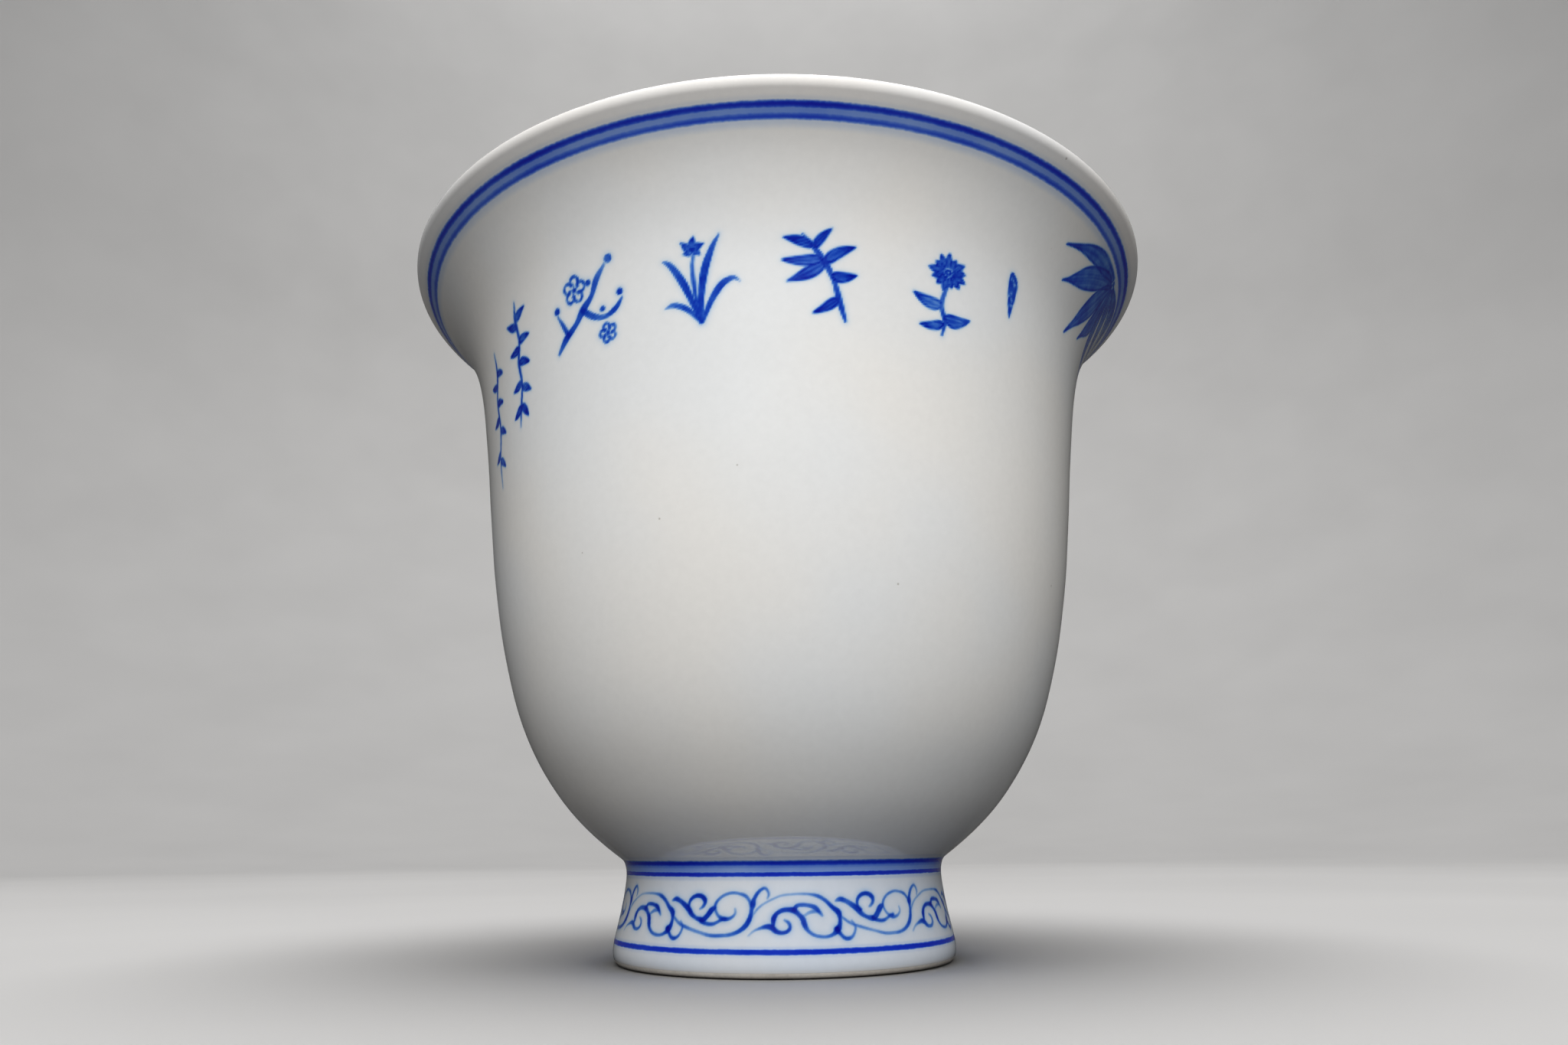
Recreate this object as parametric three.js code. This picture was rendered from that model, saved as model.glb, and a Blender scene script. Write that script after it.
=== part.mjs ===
// A small porcelain teacup: a bell-shaped bowl with a flaring lip, standing on a separate,
// flared and hollow foot ring that is luted on with slip. It is built up in its real layers:
// clay body, slip seam, cobalt pigment, glaze.
//
// Units are millimetres, +Z is up. The origin is the centre of the foot ring's resting plane.
// Profiles lie in a half plane: every point is [radius, height].
import * as THREE from "three";

// ---------------------------------------------------------------- dimensions
const SEGMENTS = 36; // facets round the axis, the same for every layer, so that they nest

const LIP_RADIUS = 40; // outermost radius of the lip
const LIP_ROUND = 0.563; // radius of the lip's rounded edge
const LIP_CENTRE = [LIP_RADIUS - LIP_ROUND, 68.526]; // centre of that rounding
const LIP_SLOPE_DEG = 37.5; // the wall's rise from horizontal where it meets the lip
const LIP_OUTSIDE_END_DEG = 35; // where the outside ends on the rounding
const LIP_INSIDE_START_DEG = 39; // where the inside begins on it

// Wall thickness, glaze included
const WALL_LIP = 2 * LIP_ROUND;
const WALL_MID = 1.85; // half way along the wall's curve
const WALL_LOW = 2.9; // at the neck end of the curve

const NECK = [15.62, 9.2]; // where the bowl meets the foot
const FLOOR_Z = 11.8; // inside floor on the axis
const UNDERSIDE = [15.28, 8.95]; // edge of the bowl body's flat underside

// Layers, and their depths under the visible surface
const GLAZE = 0.2;
const COBALT = 0.05;
const GAP = 0.02; // clearance between neighbouring layers
const COBALT_TOP = GLAZE + GAP;
const COBALT_BOTTOM = COBALT_TOP + COBALT;
const BODY_OUT = COBALT_BOTTOM + GAP; // clay where pigment can lie over it
const BODY_IN = GLAZE + GAP; // clay where there is only glaze over it

const FOOT_FLAT_OUT = 15.75; // the flat bare ring the cup stands on
const FOOT_FLAT_IN = 14.35;
const FOOT_GLAZE_END_Z = 0.5; // below this the foot rim is bare clay
const RECESS_CEILING_Z = 8.7; // glazed ceiling of the hollow inside the foot
const SEAM_LOW_Z = 8.7; // slip seam between foot ring and bowl
const SEAM_HIGH_Z = 8.92;

// Cobalt lines: the rim lines by the centre of each, the foot lines by lowest and highest edge
const RIM_LINE_WIDTH = 0.47;
const RIM_LINE_UPPER = [38.71, 67.21];
const RIM_LINE_LOWER = [37.96, 66.53];
const FOOT_LINE_UPPER = [8.58, 8.95];
const FOOT_LINE_LOWER = [7.92, 8.26];
const BASE_LINE = [1.87, 2.35];

const VINE_REPEATS = 7; // waves round the foot
const VINE_Z = 5.05; // mean height
const VINE_SWING = 1.35; // rise and fall either side of it
const VINE_WIDTH = 0.3; // measured vertically
const VINE_STEPS_PER_FACET = 4;

// ---------------------------------------------------------------- materials
const CLAY = { color: 0xe9e4da, roughness: 0.75, metalness: 0 };
const CLAY_FOOT = { color: 0xe2d6c3, roughness: 0.8, metalness: 0 };
const SLIP = { color: 0xe6e0d4, roughness: 0.8, metalness: 0 };
const GLAZE_OUTSIDE = { color: 0xdfe2e4, roughness: 0.12, metalness: 0 };
const GLAZE_INSIDE = { color: 0xe6e8e8, roughness: 0.12, metalness: 0 };
const COBALT_DARK = { color: 0x1d3472, roughness: 0.2, metalness: 0 };
const COBALT_MID = { color: 0x3459a8, roughness: 0.2, metalness: 0 };
const COBALT_WASH = { color: 0x8ea6d0, roughness: 0.2, metalness: 0 };

// ---------------------------------------------------------------- profile tools
// A chain is an open run of points. A position on it is a number: 2.5 is half way
// between points 2 and 3.
const mix = (from, to, share) => [
  from[0] + (to[0] - from[0]) * share,
  from[1] + (to[1] - from[1]) * share,
];
const distance = (from, to) => Math.hypot(to[0] - from[0], to[1] - from[1]);
const push = (point, normal, depth) => [
  point[0] + normal[0] * depth,
  point[1] + normal[1] * depth,
];

// Unit normal to the left of the direction of travel
function leftOf(from, to) {
  const length = distance(from, to);
  return [-(to[1] - from[1]) / length, (to[0] - from[0]) / length];
}

// Point on a clamped cubic B-spline, t from 0 to 1, by de Boor's algorithm
function splinePoint(control, t) {
  const degree = 3;
  const spanCount = control.length - degree;
  const knot = (i) => THREE.MathUtils.clamp((i - degree) / spanCount, 0, 1);
  let span = degree;
  while (span < control.length - 1 && t >= knot(span + 1)) span++;

  const points = control.slice(span - degree, span + 1);
  for (let round = 1; round <= degree; round++) {
    for (let j = degree; j >= round; j--) {
      const start = knot(span - degree + j);
      const end = knot(span + 1 + j - round);
      points[j] = mix(points[j - 1], points[j], (t - start) / (end - start));
    }
  }
  return points[degree];
}

// Mitred left-hand normals at a chain's points. Either end's normal can be given.
function chainNormals(chain, first, last) {
  const end = chain.length - 1;
  return chain.map((point, i) => {
    if (i === 0 && first) return first;
    if (i === end && last) return last;
    const before = i > 0 ? leftOf(chain[i - 1], point) : leftOf(point, chain[1]);
    const after = i < end ? leftOf(point, chain[i + 1]) : before;
    const sum = [before[0] + after[0], before[1] + after[1]];
    const length = Math.hypot(...sum);
    // Lengthened at a corner, so that offset sides keep their distance
    const cosine = (sum[0] * before[0] + sum[1] * before[1]) / length;
    const scale = 1 / (length * Math.max(0.5, cosine));
    return [sum[0] * scale, sum[1] * scale];
  });
}

// A visible surface: its chain, and normals that point into the clay
function makeSurface(chain, first, last) {
  return { chain, normals: chainNormals(chain, first, last) };
}

const chainAtDepth = ({ chain, normals }, depth) =>
  chain.map((point, i) => push(point, normals[i], depth));

function pointAt(chain, position) {
  const i = Math.min(Math.floor(position), chain.length - 2);
  return mix(chain[i], chain[i + 1], position - i);
}

// Position on a rising chain at a given height
function positionAtHeight(chain, z) {
  const i = chain.findIndex((point, k) => k > 0 && point[1] >= z) - 1;
  return i + (z - chain[i][1]) / (chain[i + 1][1] - chain[i][1]);
}

// Length travelled along a chain to the place nearest a target point
function lengthNearest(chain, target) {
  let nearest = Infinity;
  let result = 0;
  let travelled = 0;
  for (let i = 0; i < chain.length - 1; i++) {
    const [from, to] = [chain[i], chain[i + 1]];
    const side = distance(from, to);
    const dot =
      (target[0] - from[0]) * (to[0] - from[0]) + (target[1] - from[1]) * (to[1] - from[1]);
    const share = THREE.MathUtils.clamp(dot / side ** 2, 0, 1);
    const miss = distance(mix(from, to, share), target);
    if (miss < nearest) {
      nearest = miss;
      result = travelled + share * side;
    }
    travelled += side;
  }
  return result;
}

function positionAtLength(chain, length) {
  let left = length;
  let i = 0;
  let side = distance(chain[0], chain[1]);
  while (left > side && i < chain.length - 2) {
    left -= side;
    i++;
    side = distance(chain[i], chain[i + 1]);
  }
  return i + left / side;
}

// Closed profile between two depths under a surface, over a stretch of its chain
function strip(surface, shallow, deep, from = 0, to = surface.chain.length - 1) {
  const stops = [from];
  for (let i = Math.ceil(from + 1e-6); i < to - 1e-6; i++) stops.push(i);
  stops.push(to);
  const upper = chainAtDepth(surface, shallow);
  const lower = chainAtDepth(surface, deep);
  return [
    ...stops.map((stop) => pointAt(upper, stop)),
    ...stops.reverse().map((stop) => pointAt(lower, stop)),
  ];
}

// Turns a closed profile, or one with two neighbouring points on the axis, about +Z
function turned(profile) {
  const onAxis = (point) => point[0] < 1e-9;
  let area = 0;
  profile.forEach((point, i) => {
    const next = profile[(i + 1) % profile.length];
    area += point[0] * next[1] - next[0] * point[1];
  });
  // Anticlockwise, so that the faces look outwards
  const loop = area > 0 ? [...profile] : [...profile].reverse();
  if (loop.some(onAxis)) {
    // Start and end on the axis
    while (!(onAxis(loop[0]) && onAxis(loop.at(-1)))) loop.push(loop.shift());
  } else {
    loop.push(loop[0]);
  }
  const points = loop.map(([radius, z]) => new THREE.Vector2(radius, z));
  return new THREE.LatheGeometry(points, SEGMENTS).rotateX(Math.PI / 2);
}

// ---------------------------------------------------------------- visible surfaces
// Spline control points of the bowl's outer wall, neck to lip: radius, height
const WALL_CONTROL = [
  NECK,
  [19.438, 11.873], [22.877, 15.887], [25.785, 20.866], [27.745, 26.849],
  [29.221, 33.468], [30.215, 40.384], [30.997, 47.233], [31.87, 53.583],
  [32.898, 58.996], [34.962, 63.143], [37.435, 66.277], [39.78, 68.08],
];
// Spline parameters at which the wall is sampled, outside upwards and inside downwards
const OUTSIDE_STOPS = [0, 0.04, 0.1, 0.21, 0.33, 0.46, 0.6, 0.74, 0.81, 0.88, 0.94, 1];
const INSIDE_STOPS = [0.94, 0.88, 0.81, 0.7, 0.54, 0.38, 0.24, 0.14, 0.07];

const wallPoint = (t) => splinePoint(WALL_CONTROL, t);

// Outward direction on the lip's rounding, 0 degrees being away from the axis
function lipDirection(degrees) {
  const angle = THREE.MathUtils.degToRad(degrees);
  return [Math.cos(angle), Math.sin(angle)];
}
const lipPoint = (degrees) => push(LIP_CENTRE, lipDirection(degrees), LIP_ROUND);
const lipNormal = (degrees) => lipDirection(degrees).map((value) => -value);

// Point of the inner wall, across the wall's thickness from the outer one
function innerWallPoint(t) {
  const slopeStep = 0.005;
  const normal = leftOf(wallPoint(t - slopeStep), wallPoint(t + slopeStep));
  const endThickness = t > 0.5 ? WALL_LIP : WALL_LOW;
  const thickness = WALL_MID + ((endThickness - WALL_MID) * Math.abs(t - 0.5)) / 0.5;
  return push(wallPoint(t), normal, thickness);
}

// Outside of the bowl, neck to lip
const outside = makeSurface(
  [...OUTSIDE_STOPS.map(wallPoint), lipPoint(-10), lipPoint(LIP_OUTSIDE_END_DEG)],
  undefined,
  lipNormal(LIP_OUTSIDE_END_DEG),
);

// Inside of the bowl, lip to axis
const inside = makeSurface(
  [
    lipPoint(LIP_INSIDE_START_DEG),
    lipPoint(80),
    lipPoint(90 + LIP_SLOPE_DEG),
    ...INSIDE_STOPS.map(innerWallPoint),
    [13.4, 12.75],
    [7.5, FLOOR_Z + 0.12],
    [0, FLOOR_Z],
  ],
  lipNormal(LIP_INSIDE_START_DEG),
  [0, -1],
);

// Outside of the foot, base to neck
const footOutside = makeSurface([
  [16.3, FOOT_GLAZE_END_Z],
  [16.39, 1.2],
  [16.24, 2.4],
  [15.84, 4.3],
  [15.5, 6.2],
  [15.36, 7.9],
  [15.6, 9.1],
]);

// Inside of the foot and the ceiling of its hollow, base to axis
const recess = makeSurface(
  [
    [13.9, FOOT_GLAZE_END_Z],
    [13.4, 4.4],
    [12.95, 7.6],
    [12.45, 8.4],
    [11.5, RECESS_CEILING_Z],
    [0, RECESS_CEILING_Z],
  ],
  undefined,
  [0, -1],
);
// The clay lies to the right of this chain
recess.normals = recess.normals.map(([x, y]) => [-x, -y]);

// ---------------------------------------------------------------- parts
const teacup = new THREE.Group();
teacup.name = "teacup";

function add(name, geometry, look) {
  const mesh = new THREE.Mesh(geometry, new THREE.MeshStandardMaterial(look));
  mesh.name = name;
  teacup.add(mesh);
}

// Clay bowl: underside, outer wall, inner wall and floor. The two points where the
// surfaces end on the lip are left out.
function addBowlBody() {
  const profile = [
    [0, UNDERSIDE[1]],
    UNDERSIDE,
    ...chainAtDepth(outside, BODY_OUT).slice(0, -1),
    ...chainAtDepth(inside, BODY_IN).slice(1),
  ];
  add("bowl_body", turned(profile), CLAY);
}

// Foot ring with a flat bare rim, and the slip that lutes the bowl to it
function addFootRingAndSeam() {
  const outer = chainAtDepth(footOutside, BODY_OUT).slice(0, 6);
  const inner = chainAtDepth(recess, BODY_IN).slice(0, 3);
  const topZ = SEAM_LOW_Z - GAP;
  const topRadius = outer[5][0] + 0.13;
  const bevelZ = 0.12; // top of the bevel beside the resting ring
  const bareEdgeZ = FOOT_GLAZE_END_Z - 0.05; // top of the bare rim
  const ledgeZ = FOOT_GLAZE_END_Z - 0.04; // where the body steps in under the glaze
  const ledgeInset = 0.02;
  const ring = [
    [FOOT_FLAT_OUT, 0],
    [16.05, bevelZ],
    [16.2, bareEdgeZ],
    [outer[0][0] - ledgeInset, ledgeZ],
    ...outer.slice(1),
    [topRadius, topZ],
    [inner[2][0] + 0.05, topZ],
    inner[2],
    inner[1],
    [inner[0][0] + ledgeInset, ledgeZ],
    [13.98, bareEdgeZ],
    [14.1, bevelZ],
    [FOOT_FLAT_IN, 0],
  ];
  add("foot_ring_body", turned(ring), CLAY_FOOT);

  const seamInnerRadius = inner[2][0] + 0.12;
  const seam = [
    [seamInnerRadius, SEAM_LOW_Z],
    [topRadius, SEAM_LOW_Z],
    [topRadius, SEAM_HIGH_Z],
    [seamInnerRadius, SEAM_HIGH_Z],
  ];
  add("slip_seam", turned(seam), SLIP);
}

// Clear glaze, one field per visible surface
function addGlaze(name, surface, look) {
  add(name, turned(strip(surface, 0, GLAZE)), look);
}

// Cobalt band between two positions on a surface's chain
function addBand(name, surface, from, to, look) {
  add(name, turned(strip(surface, COBALT_TOP, COBALT_BOTTOM, from, to)), look);
}

// Two lines under the lip with a wash between them, placed by length along the wall
function addRimBands() {
  const { chain } = outside;
  const half = RIM_LINE_WIDTH / 2;
  const upper = lengthNearest(chain, RIM_LINE_UPPER);
  const lower = lengthNearest(chain, RIM_LINE_LOWER);
  const band = (name, from, to, look) =>
    addBand(name, outside, positionAtLength(chain, from), positionAtLength(chain, to), look);
  band("rim_line_upper", upper - half, upper + half, COBALT_DARK);
  band("rim_wash_band", lower + half + GAP, upper - half - GAP, COBALT_WASH);
  band("rim_line_lower", lower - half, lower + half, COBALT_MID);
}

// Two lines with a wash between them at the top of the foot, and one near its base
function addFootBands() {
  const { chain } = footOutside;
  const band = (name, [low, high], look) =>
    addBand(name, footOutside, positionAtHeight(chain, low), positionAtHeight(chain, high), look);
  band("foot_line_upper", FOOT_LINE_UPPER, COBALT_DARK);
  band("foot_wash_band", [FOOT_LINE_LOWER[1] + GAP, FOOT_LINE_UPPER[0] - GAP], COBALT_WASH);
  band("foot_line_lower", FOOT_LINE_LOWER, COBALT_MID);
  band("base_line", BASE_LINE, COBALT_DARK);
}

// One endless wavy line round the foot, a four-cornered section swept round the axis
function addVine() {
  const steps = SEGMENTS * VINE_STEPS_PER_FACET;
  const facet = (2 * Math.PI) / SEGMENTS;
  const top = chainAtDepth(footOutside, COBALT_TOP);
  const bottom = chainAtDepth(footOutside, COBALT_BOTTOM);
  const corners = [[top, -1], [top, 1], [bottom, 1], [bottom, -1]]; // chain, side
  const positions = [];
  const indices = [];
  for (let k = 0; k < steps; k++) {
    const angle = (2 * Math.PI * k) / steps;
    // Draws the radius in, so that the line lies on the flat facets of its neighbours
    const fromMiddle = ((k % VINE_STEPS_PER_FACET) / VINE_STEPS_PER_FACET - 0.5) * facet;
    const flatten = Math.cos(facet / 2) / Math.cos(fromMiddle);
    const middleZ = VINE_Z + VINE_SWING * Math.sin(VINE_REPEATS * angle);
    corners.forEach(([chain, side], j) => {
      const z = middleZ + (side * VINE_WIDTH) / 2;
      const radius = pointAt(chain, positionAtHeight(chain, z))[0] * flatten;
      positions.push(radius * Math.sin(angle), -radius * Math.cos(angle), z);

      const here = 4 * k;
      const ahead = 4 * ((k + 1) % steps);
      const next = (j + 1) % 4;
      indices.push(here + j, ahead + j, ahead + next);
      indices.push(here + j, ahead + next, here + next);
    });
  }
  const geometry = new THREE.BufferGeometry();
  geometry.setAttribute("position", new THREE.Float32BufferAttribute(positions, 3));
  geometry.setIndex(indices);
  geometry.computeVertexNormals();
  add("foot_scroll_vine", geometry, COBALT_MID);
}

addBowlBody();
addFootRingAndSeam();
addGlaze("exterior_glaze", outside, GLAZE_OUTSIDE);
addGlaze("interior_glaze", inside, GLAZE_INSIDE);
addGlaze("foot_glaze", footOutside, GLAZE_OUTSIDE);
addGlaze("recess_glaze", recess, GLAZE_OUTSIDE);
addRimBands();
addFootBands();
addVine();

export default teacup;
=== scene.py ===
import math

import bpy
import numpy as np
from mathutils import Matrix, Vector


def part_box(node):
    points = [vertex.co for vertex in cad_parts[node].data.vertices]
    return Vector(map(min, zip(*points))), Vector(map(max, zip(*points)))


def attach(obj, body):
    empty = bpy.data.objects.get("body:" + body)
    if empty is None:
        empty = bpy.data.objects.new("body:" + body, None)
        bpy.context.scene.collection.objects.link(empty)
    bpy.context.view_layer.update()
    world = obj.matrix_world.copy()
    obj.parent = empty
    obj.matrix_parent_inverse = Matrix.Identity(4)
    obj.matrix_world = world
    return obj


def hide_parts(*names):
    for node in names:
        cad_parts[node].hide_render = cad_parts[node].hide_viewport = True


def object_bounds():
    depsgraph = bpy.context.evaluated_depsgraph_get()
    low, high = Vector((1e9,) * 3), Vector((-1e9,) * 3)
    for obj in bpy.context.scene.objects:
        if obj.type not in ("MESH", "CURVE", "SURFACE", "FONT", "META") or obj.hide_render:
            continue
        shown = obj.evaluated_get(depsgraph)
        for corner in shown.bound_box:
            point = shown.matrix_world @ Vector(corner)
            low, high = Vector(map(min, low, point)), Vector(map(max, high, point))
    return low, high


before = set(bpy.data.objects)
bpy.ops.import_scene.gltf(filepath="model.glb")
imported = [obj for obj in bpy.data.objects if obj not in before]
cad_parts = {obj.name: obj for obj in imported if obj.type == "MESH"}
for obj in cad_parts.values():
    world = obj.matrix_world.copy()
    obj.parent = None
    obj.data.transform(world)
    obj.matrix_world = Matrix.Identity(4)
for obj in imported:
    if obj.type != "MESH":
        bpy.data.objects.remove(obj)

CAD_LO, CAD_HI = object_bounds()
MM = 0.001

# ------------------------------------------------------------------ anchors taken from the frame
lip_r = (CAD_HI.x - CAD_LO.x) / 2 / MM  # the CAD lip, a polygon
K = lip_r / 39.9915  # 1.0 at the CAD's own size
neck_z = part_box("exterior_glaze")[0].z / MM
under_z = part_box("bowl_body")[0].z / MM
seam_lo, seam_hi = (c.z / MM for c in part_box("slip_seam"))
clay_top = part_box("foot_ring_body")[1].z / MM
GLAZE = 0.2
DEG = math.pi / 180

# ------------------------------------------------------------------ profile: one path, in mm
# Recess ceiling at the axis, down the hollow of the foot, round its bare rim, up the foot,
# the bowl and the lip, and down the inside to the floor at the axis. Clay is to the left.
WALL = np.array([
    [15.62, neck_z], [19.438, 11.873], [22.877, 15.887], [25.785, 20.866], [27.745, 26.849],
    [29.221, 33.468], [30.215, 40.384], [30.997, 47.233], [31.87, 53.583], [32.898, 58.996],
    [34.962, 63.143], [37.435, 66.277], [39.78, 68.08]])


def wall(t):
    c, n, k = WALL, len(WALL), 3
    kn = np.concatenate([np.zeros(k), np.linspace(0, 1, n - k + 1), np.ones(k)])
    t = np.clip(np.asarray(t, float), 0, 1 - 1e-12)
    b = [((kn[i] <= t) & (t < kn[i + 1])).astype(float) for i in range(len(kn) - 1)]
    for d in range(1, k + 1):
        nb = []
        for i in range(len(kn) - 1 - d):
            a = np.zeros_like(t)
            if kn[i + d] > kn[i]:
                a = a + (t - kn[i]) / (kn[i + d] - kn[i]) * b[i]
            if kn[i + d + 1] > kn[i + 1]:
                a = a + (kn[i + d + 1] - t) / (kn[i + d + 1] - kn[i + 1]) * b[i + 1]
            nb.append(a)
        b = nb
    return sum(b[i][:, None] * c[i] for i in range(n))


def catmull(p, per=12):
    """Centripetal Catmull-Rom through points of any dimension; the first two are x and y."""
    p = np.asarray(p, float)
    if len(p) < 3:
        f = np.linspace(0, 1, per + 1)[:, None]
        return p[0] + (p[-1] - p[0]) * f
    q = np.vstack([2 * p[0] - p[1], p, 2 * p[-1] - p[-2]])
    out = []
    for i in range(1, len(q) - 2):
        p0, p1, p2, p3 = q[i - 1:i + 3]
        d = [max(1e-6, np.linalg.norm((b - a)[:2]) ** 0.5) for a, b in ((p0, p1), (p1, p2), (p2, p3))]
        t0, t1 = 0.0, d[0]
        t2, t3 = t1 + d[1], t1 + d[1] + d[2]
        t = np.linspace(t1, t2, per, endpoint=False)[:, None]
        a1 = (t1 - t) / (t1 - t0) * p0 + (t - t0) / (t1 - t0) * p1
        a2 = (t2 - t) / (t2 - t1) * p1 + (t - t1) / (t2 - t1) * p2
        a3 = (t3 - t) / (t3 - t2) * p2 + (t - t2) / (t3 - t2) * p3
        b1 = (t2 - t) / (t2 - t0) * a1 + (t - t0) / (t2 - t0) * a2
        b2 = (t3 - t) / (t3 - t1) * a2 + (t - t1) / (t3 - t1) * a3
        out.append((t2 - t) / (t2 - t1) * b1 + (t - t1) / (t2 - t1) * b2)
    return np.vstack(out + [p[-1:]])


def resample(p, step):
    s = np.concatenate([[0], np.cumsum(np.linalg.norm(np.diff(p, axis=0), axis=1))])
    keep = np.concatenate([[True], np.diff(s) > 1e-9])
    p, s = p[keep], s[keep]
    n = int(round(s[-1] / step)) + 1
    u = np.linspace(0, s[-1], n)
    return np.column_stack([np.interp(u, s, p[:, 0]), np.interp(u, s, p[:, 1])])


def smoothed(p, sigma, step):
    """Gaussian smoothing along the path; both ends lie on the axis, so they mirror in it."""
    k = int(4 * sigma / step)
    w = np.exp(-0.5 * (np.arange(-k, k + 1) * step / sigma) ** 2)
    w /= w.sum()
    head = p[1:k + 1][::-1] * [-1, 1]
    tail = p[-k - 1:-1][::-1] * [-1, 1]
    q = np.vstack([head, p, tail])
    out = np.column_stack([np.convolve(q[:, i], w, "valid") for i in (0, 1)])
    out[0, 0] = out[-1, 0] = 0
    return out


recess = catmull([[0, 8.7], [6, 8.7], [11.2, 8.69], [12.3, 8.45], [12.85, 7.8], [13.05, 6.8],
                  [13.45, 4.0], [13.86, 1.0], [13.92, 0.45]])
bare = np.array([[14.0, 0.2], [14.14, 0.06], [14.35, 0.0], [15.72, 0.0], [15.95, 0.05], [16.13, 0.2]])
foot = catmull([[16.27, 0.45], [16.37, 0.85], [16.39, 1.25], [16.34, 1.8], [16.24, 2.4],
                [15.84, 4.3], [15.52, 6.2], [15.365, 7.6], [15.38, 8.3], [15.49, 8.8], [15.60, 9.12]])
outer = wall(np.linspace(0, 1, 600))
outer = outer[outer[:, 0] < 39.63]


def bend(centre, radius, a0, a1, n=40):
    arc = np.radians(np.linspace(a0, a1, n))[:, None]
    return np.array(centre) + radius * np.hstack([np.cos(arc), np.sin(arc)])


# the lip: rolled up on the outside, a tighter turn at the edge, an easy fall to the inside
lip = np.vstack([bend((39.09, 68.683), 0.9, -52.4, 0), bend((39.584, 68.683), 0.406, 0, 90)[1:], bend((39.584, 68.096), 0.993, 90, 127.55)[1:]])
t_in = np.linspace(0.995, 0.12, 500)
a, b = wall(t_in - 0.002), wall(t_in + 0.002)
tan = (b - a) / np.linalg.norm(b - a, axis=1)[:, None]
thick = np.where(t_in > 0.5, 1.85 + (1.126 - 1.85) * (t_in - 0.5) / 0.5, 1.85 + (2.9 - 1.85) * (0.5 - t_in) / 0.5)
inner = wall(t_in) + np.column_stack([-tan[:, 1], tan[:, 0]]) * thick[:, None]
inner = inner[inner[:, 0] < 38.95]
floor_in = catmull([inner[-1], [18.6, 15.95], [16.2, 14.35], [13.4, 13.05], [10.4, 12.3], [7.0, 11.92], [3.5, 11.81], [0, 11.8]], 24)
STEP = 0.02
path = np.vstack([recess, bare, foot, outer[1:], lip[1:], inner, floor_in[1:]])
path = resample(path, STEP)
fine = smoothed(path, 0.16, STEP)
lip_zone = np.clip((path[:, 1] - 66.5) / 1.0, 0, 1)[:, None]  # the lip's own rounding is kept
path = fine * (1 - lip_zone) + smoothed(path, 0.06, STEP) * lip_zone
path[:, 1] = np.maximum(path[:, 1], 0)
path[:, 0] *= K
SEG = np.linalg.norm(np.diff(path, axis=0), axis=1)
PS = np.concatenate([[0], np.cumsum(SEG)])
PR, PZ = path[:, 0], path[:, 1]
g = np.gradient(path, axis=0)
g /= np.linalg.norm(g, axis=1)[:, None] + 1e-12
PNR, PNZ = g[:, 1].copy(), -g[:, 0].copy()
PNR[0], PNZ[0], PNR[-1], PNZ[-1] = 0, -1, 0, 1
i_low = int(np.argmin(np.abs(PR - 15.0) + 10 * PZ))  # on the flat rim
i_lip = int(np.argmax(PZ + 0.6 * PR))


def station(z, part):
    """Path length where the height is z: part is recess, foot, wall (outside) or inside."""
    lo, hi = {"recess": (0, i_low), "foot": (i_low, i_lip), "wall": (i_low, i_lip), "inside": (i_lip, len(PZ))}[part]
    zz = PZ[lo:hi]
    k = np.argmax(zz < z) if part in ("recess", "inside") else np.argmax(zz > z)
    return PS[lo + k]


def at(s):
    return (np.interp(s, PS, PR), np.interp(s, PS, PZ), np.interp(s, PS, PNR), np.interp(s, PS, PNZ))


S_REC = station(0.5, "recess")
S_FOOT = station(0.5, "foot")
S_NECK = station(neck_z + 0.35, "foot")
S_BELT = station(40.0, "wall")
S_RIM = station(66.25, "wall")
S_CROWN = PS[np.where((PZ > 68.6) & (PNZ > math.sin(75 * DEG)))[0][0]]
S_END = PS[-1]


def warp(phi, z):
    """Radial error of a hand-finished cup, mm: under a tenth of a millimetre."""
    f = np.clip(z / 69, 0, 1)
    return f * (0.045 * np.sin(2 * phi + 0.7) + 0.022 * np.sin(3 * phi - 1.1 + 0.03 * z)) + 0.008 * np.sin(z * 0.9 + 0.6 * np.sin(phi))


# ------------------------------------------------------------------ turned solids
def ring_columns(n):
    return np.arange(n) * 2 * math.pi / n


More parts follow.
